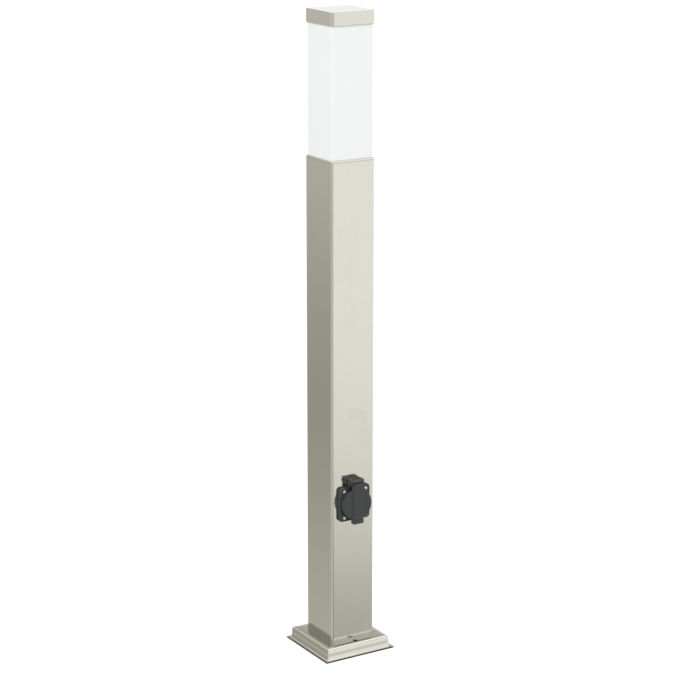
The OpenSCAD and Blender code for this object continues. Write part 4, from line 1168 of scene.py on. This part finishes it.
def set_screws(name, slot, node, sizes, spots, aim, seed):
    pattern = screw_pattern(*sizes)
    piece = grow(name, spots, screw_tree, aims=[aim] * len(spots),
                 Screw=pattern, Seed=seed, Finish=materials[slot])
    bpy.data.meshes.remove(pattern.data)
    dress(piece, "post", slot, node)


print("screw helpers:", [h.__name__ for h in (grow, screw_pattern, set_screws)])

# %% Screws in place
# Sizes are shank and head diameter, head height and length under the head
FRONT, BACK, UP, DOWN = (0, -1, 0), (0, 1, 0), (0, 0, 1), (0, 0, -1)
POLES = (-12.0, 0.0, 12.0)
_, BLOCK_LOW, BLOCK_TOP = reach("terminal_block")
BLOCK_Z, BLOCK_FRONT = (BLOCK_LOW + BLOCK_TOP) / 2, -6.0
PIN_X, EARTH_UP, EARTH_SPOT = 9.5, -10.0, (0, 25, 25)
INSERT_SEAT, TERMINAL_SEAT = -8.8, -28.0

set_screws("flange_fixings", "screw_steel", "flange_screws", (3.8, 5.6, 2, 12),
           [out(x, y, FLANGE_FRONT) for x, y in FLANGE_SCREWS], FRONT, 3)
set_screws("foot_fixings", "screw_steel", "foot_screws", (5, 9, 3, 8.5),
           [(x, y, FOOT_TOP - SHEET) for x, y in BASE_SCREWS], DOWN, 5)
set_screws("earth_fixing", "brass", "earth_screw", (5, 9, 3, 5.5), [EARTH_SPOT], UP, 7)
set_screws("pole_fixings", "brass", "terminal_screws", (3, 4.6, 1.4, 3.4),
           [(x, BLOCK_FRONT, BLOCK_Z + up) for x in POLES for up in (-6, 6)], FRONT, 9)
set_screws("block_fixings", "screw_steel", "block_screws", (3, 5.4, 2, 20),
           [(x, BLOCK_FRONT + 3, BLOCK_Z) for x in (-6, 6)], FRONT, 11)
set_screws("bridge_fixings", "screw_steel", "bridge_screws", (4, 7, 2.4, 10.5),
           [(x, 0, HOLDER_LOW) for x in BRIDGE_SCREWS], UP, 13)
set_screws("insert_fixing", "screw_steel", "insert_screw", (3.2, 6, 2.2, 13.7),
           [out(0, 0, INSERT_SEAT)], FRONT, 15)
set_screws("outlet_fixings", "brass", "outlet_terminals", (2.5, 4.4, 1.4, 5.5),
           [out(x, y, TERMINAL_SEAT) for x, y in ((-PIN_X, 6.5), (PIN_X, 6.5), (4.5, EARTH_UP))], BACK, 17)

# %% [markdown]
# ## Wires and spring
# Three colours of wire run from the terminal block to the outlet and up the back of the post to
# the lamp. The lid's spring is wire as well, wound four times round the pin. All of them are
# routes: a chain of points, which Geometry Nodes turn into a curve and sweep with a round section.

# %% Sweep tree
sweep_tree, given, made = node_group(
    "sweep_round", "GeometryNodeTree",
    {"Geometry": "Geometry", "Radius": "Float", "Sides": "Int", "Finish": "Material"},
    {"Geometry": "Geometry"})
route_curve = add(sweep_tree, "GeometryNodeMeshToCurve")
join(sweep_tree, given["Geometry"], route_curve.inputs["Mesh"])
ring_curve = add(sweep_tree, "GeometryNodeCurvePrimitiveCircle")
join(sweep_tree, given["Radius"], ring_curve.inputs["Radius"])
join(sweep_tree, given["Sides"], ring_curve.inputs["Resolution"])
swept = add(sweep_tree, "GeometryNodeCurveToMesh")
swept.inputs["Fill Caps"].default_value = True
join(sweep_tree, route_curve.outputs[0], swept.inputs["Curve"])
join(sweep_tree, ring_curve.outputs[0], swept.inputs["Profile Curve"])
smooth = add(sweep_tree, "GeometryNodeSetShadeSmooth")
join(sweep_tree, swept.outputs[0], smooth.inputs["Geometry"])
hand_on(sweep_tree, smooth.outputs[0], given["Finish"], made["Geometry"])


def sweep(name, body, slot, node, radius, sides, *routes):
    points, edges = [], []
    for route in routes:
        edges += [(len(points) + k, len(points) + k + 1) for k in range(len(route) - 1)]
        points += list(route)
    piece = grow(name, points, sweep_tree, edges=edges,
                 Radius=radius * MM, Sides=sides, Finish=materials[slot])
    return dress(piece, body, slot, node)


print("sweep tree of", len(sweep_tree.nodes), "nodes")

# %% Wire routes
WIRE_R, WIRE_SIDES, WIRE_BACK = 1.2, 14, 24.5


# A smooth curve through the points
def eased(points, steps=8):
    p = [np.array(q, dtype=float) for q in points]
    path = []
    for i in range(len(p) - 1):
        a, b, c, d = p[max(i - 1, 0)], p[i], p[i + 1], p[min(i + 2, len(p) - 1)]
        for t in (k / steps for k in range(steps)):
            bend, turn = 2 * a - 5 * b + 4 * c - d, 3 * b - a - 3 * c + d
            path.append(0.5 * (2 * b + (c - a) * t + bend * t ** 2 + turn * t ** 3))
    return path + [p[-1]]


def outlet_route(pole, x, up):
    z = OUTLET_Z + up
    return eased([
        (pole, 0, BLOCK_TOP - 8), (pole, 0, BLOCK_TOP), (pole, 0, BLOCK_TOP + 8), (pole, 4, BLOCK_TOP + 30),
        ((pole + x) / 2, 10, z - 40), (x, 6, z - 12), (x, -2, z - 1),
        (x, -7, z), (x, -10, z), (x, -13.2, z)])


def lamp_route(pole, x, y, top):
    return eased([
        (pole, 8, BLOCK_TOP - 8), (pole, 8, BLOCK_TOP), (pole, 8, BLOCK_TOP + 8),
        (pole, 18.5, BLOCK_TOP + 34), (pole, WIRE_BACK, BLOCK_TOP + 80),
        (pole, WIRE_BACK, (BLOCK_TOP + top) / 2), (pole, WIRE_BACK, top - 90),
        ((pole + x) / 2, (WIRE_BACK + y) / 2, top - 50), (x, y, top - 18), (x, y, top - 6), (x, y, top)])


print("points on a wire to the outlet:", len(outlet_route(0, 0, 0)))

# %% Wires
LIVE, EARTH, NEUTRAL = POLES
LAMP_WIRE_X, EARTH_LUG_X, EARTH_LUG_Y = 1.6, BRIDGE_SCREWS[1], 7
LAMP_WIRE_TOP, EARTH_WIRE_TOP = reach("live_wires")[2], reach("earth_wires")[2]

sweep("brown_wires", "post", "wire_brown", "live_wires", WIRE_R, WIRE_SIDES,
      outlet_route(LIVE, -PIN_X, 0), lamp_route(LIVE, -LAMP_WIRE_X, 0, LAMP_WIRE_TOP))
sweep("blue_wires", "post", "wire_blue", "neutral_wires", WIRE_R, WIRE_SIDES,
      outlet_route(NEUTRAL, PIN_X, 0), lamp_route(NEUTRAL, LAMP_WIRE_X, 0, LAMP_WIRE_TOP))
sweep("green_wires", "post", "wire_green", "earth_wires", WIRE_R, WIRE_SIDES,
      outlet_route(EARTH, 0, EARTH_UP), lamp_route(EARTH, EARTH_LUG_X, EARTH_LUG_Y, EARTH_WIRE_TOP))

# %% [markdown]
# ## Lid spring
# The spring's left leg stays with the post and its right leg turns with the lid, so the coil winds
# up as the lid opens. It rides on neither body.

# %% Lid spring
SPRING_R, SPRING_HALF, SPRING_TURNS, SPRING_STEPS = 3.0, 2.6, 4, 96
SPRING_WIRE_R, SPRING_SIDES = 0.4, 12

coil = []
for k in range(SPRING_STEPS + 1):
    turn = math.radians(-90 - 360 * SPRING_TURNS * k / SPRING_STEPS)
    coil.append((SPRING_HALF * (2 * k / SPRING_STEPS - 1), PIN_UP + SPRING_R * math.sin(turn),
                 PIN_OUT + SPRING_R * math.cos(turn)))
post_leg = [(-SPRING_HALF, PIN_UP - SPRING_R, PIN_OUT - off) for off in (BARREL_R + 1, 1.2)]
lid_leg = [(SPRING_HALF, PIN_UP - SPRING_R, PIN_OUT + 1.2)]
spring = sweep("lid_coil", None, "spring_steel", "lid_spring", SPRING_WIRE_R, SPRING_SIDES,
               [out(*p) for p in post_leg + coil + lid_leg])
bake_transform(spring)
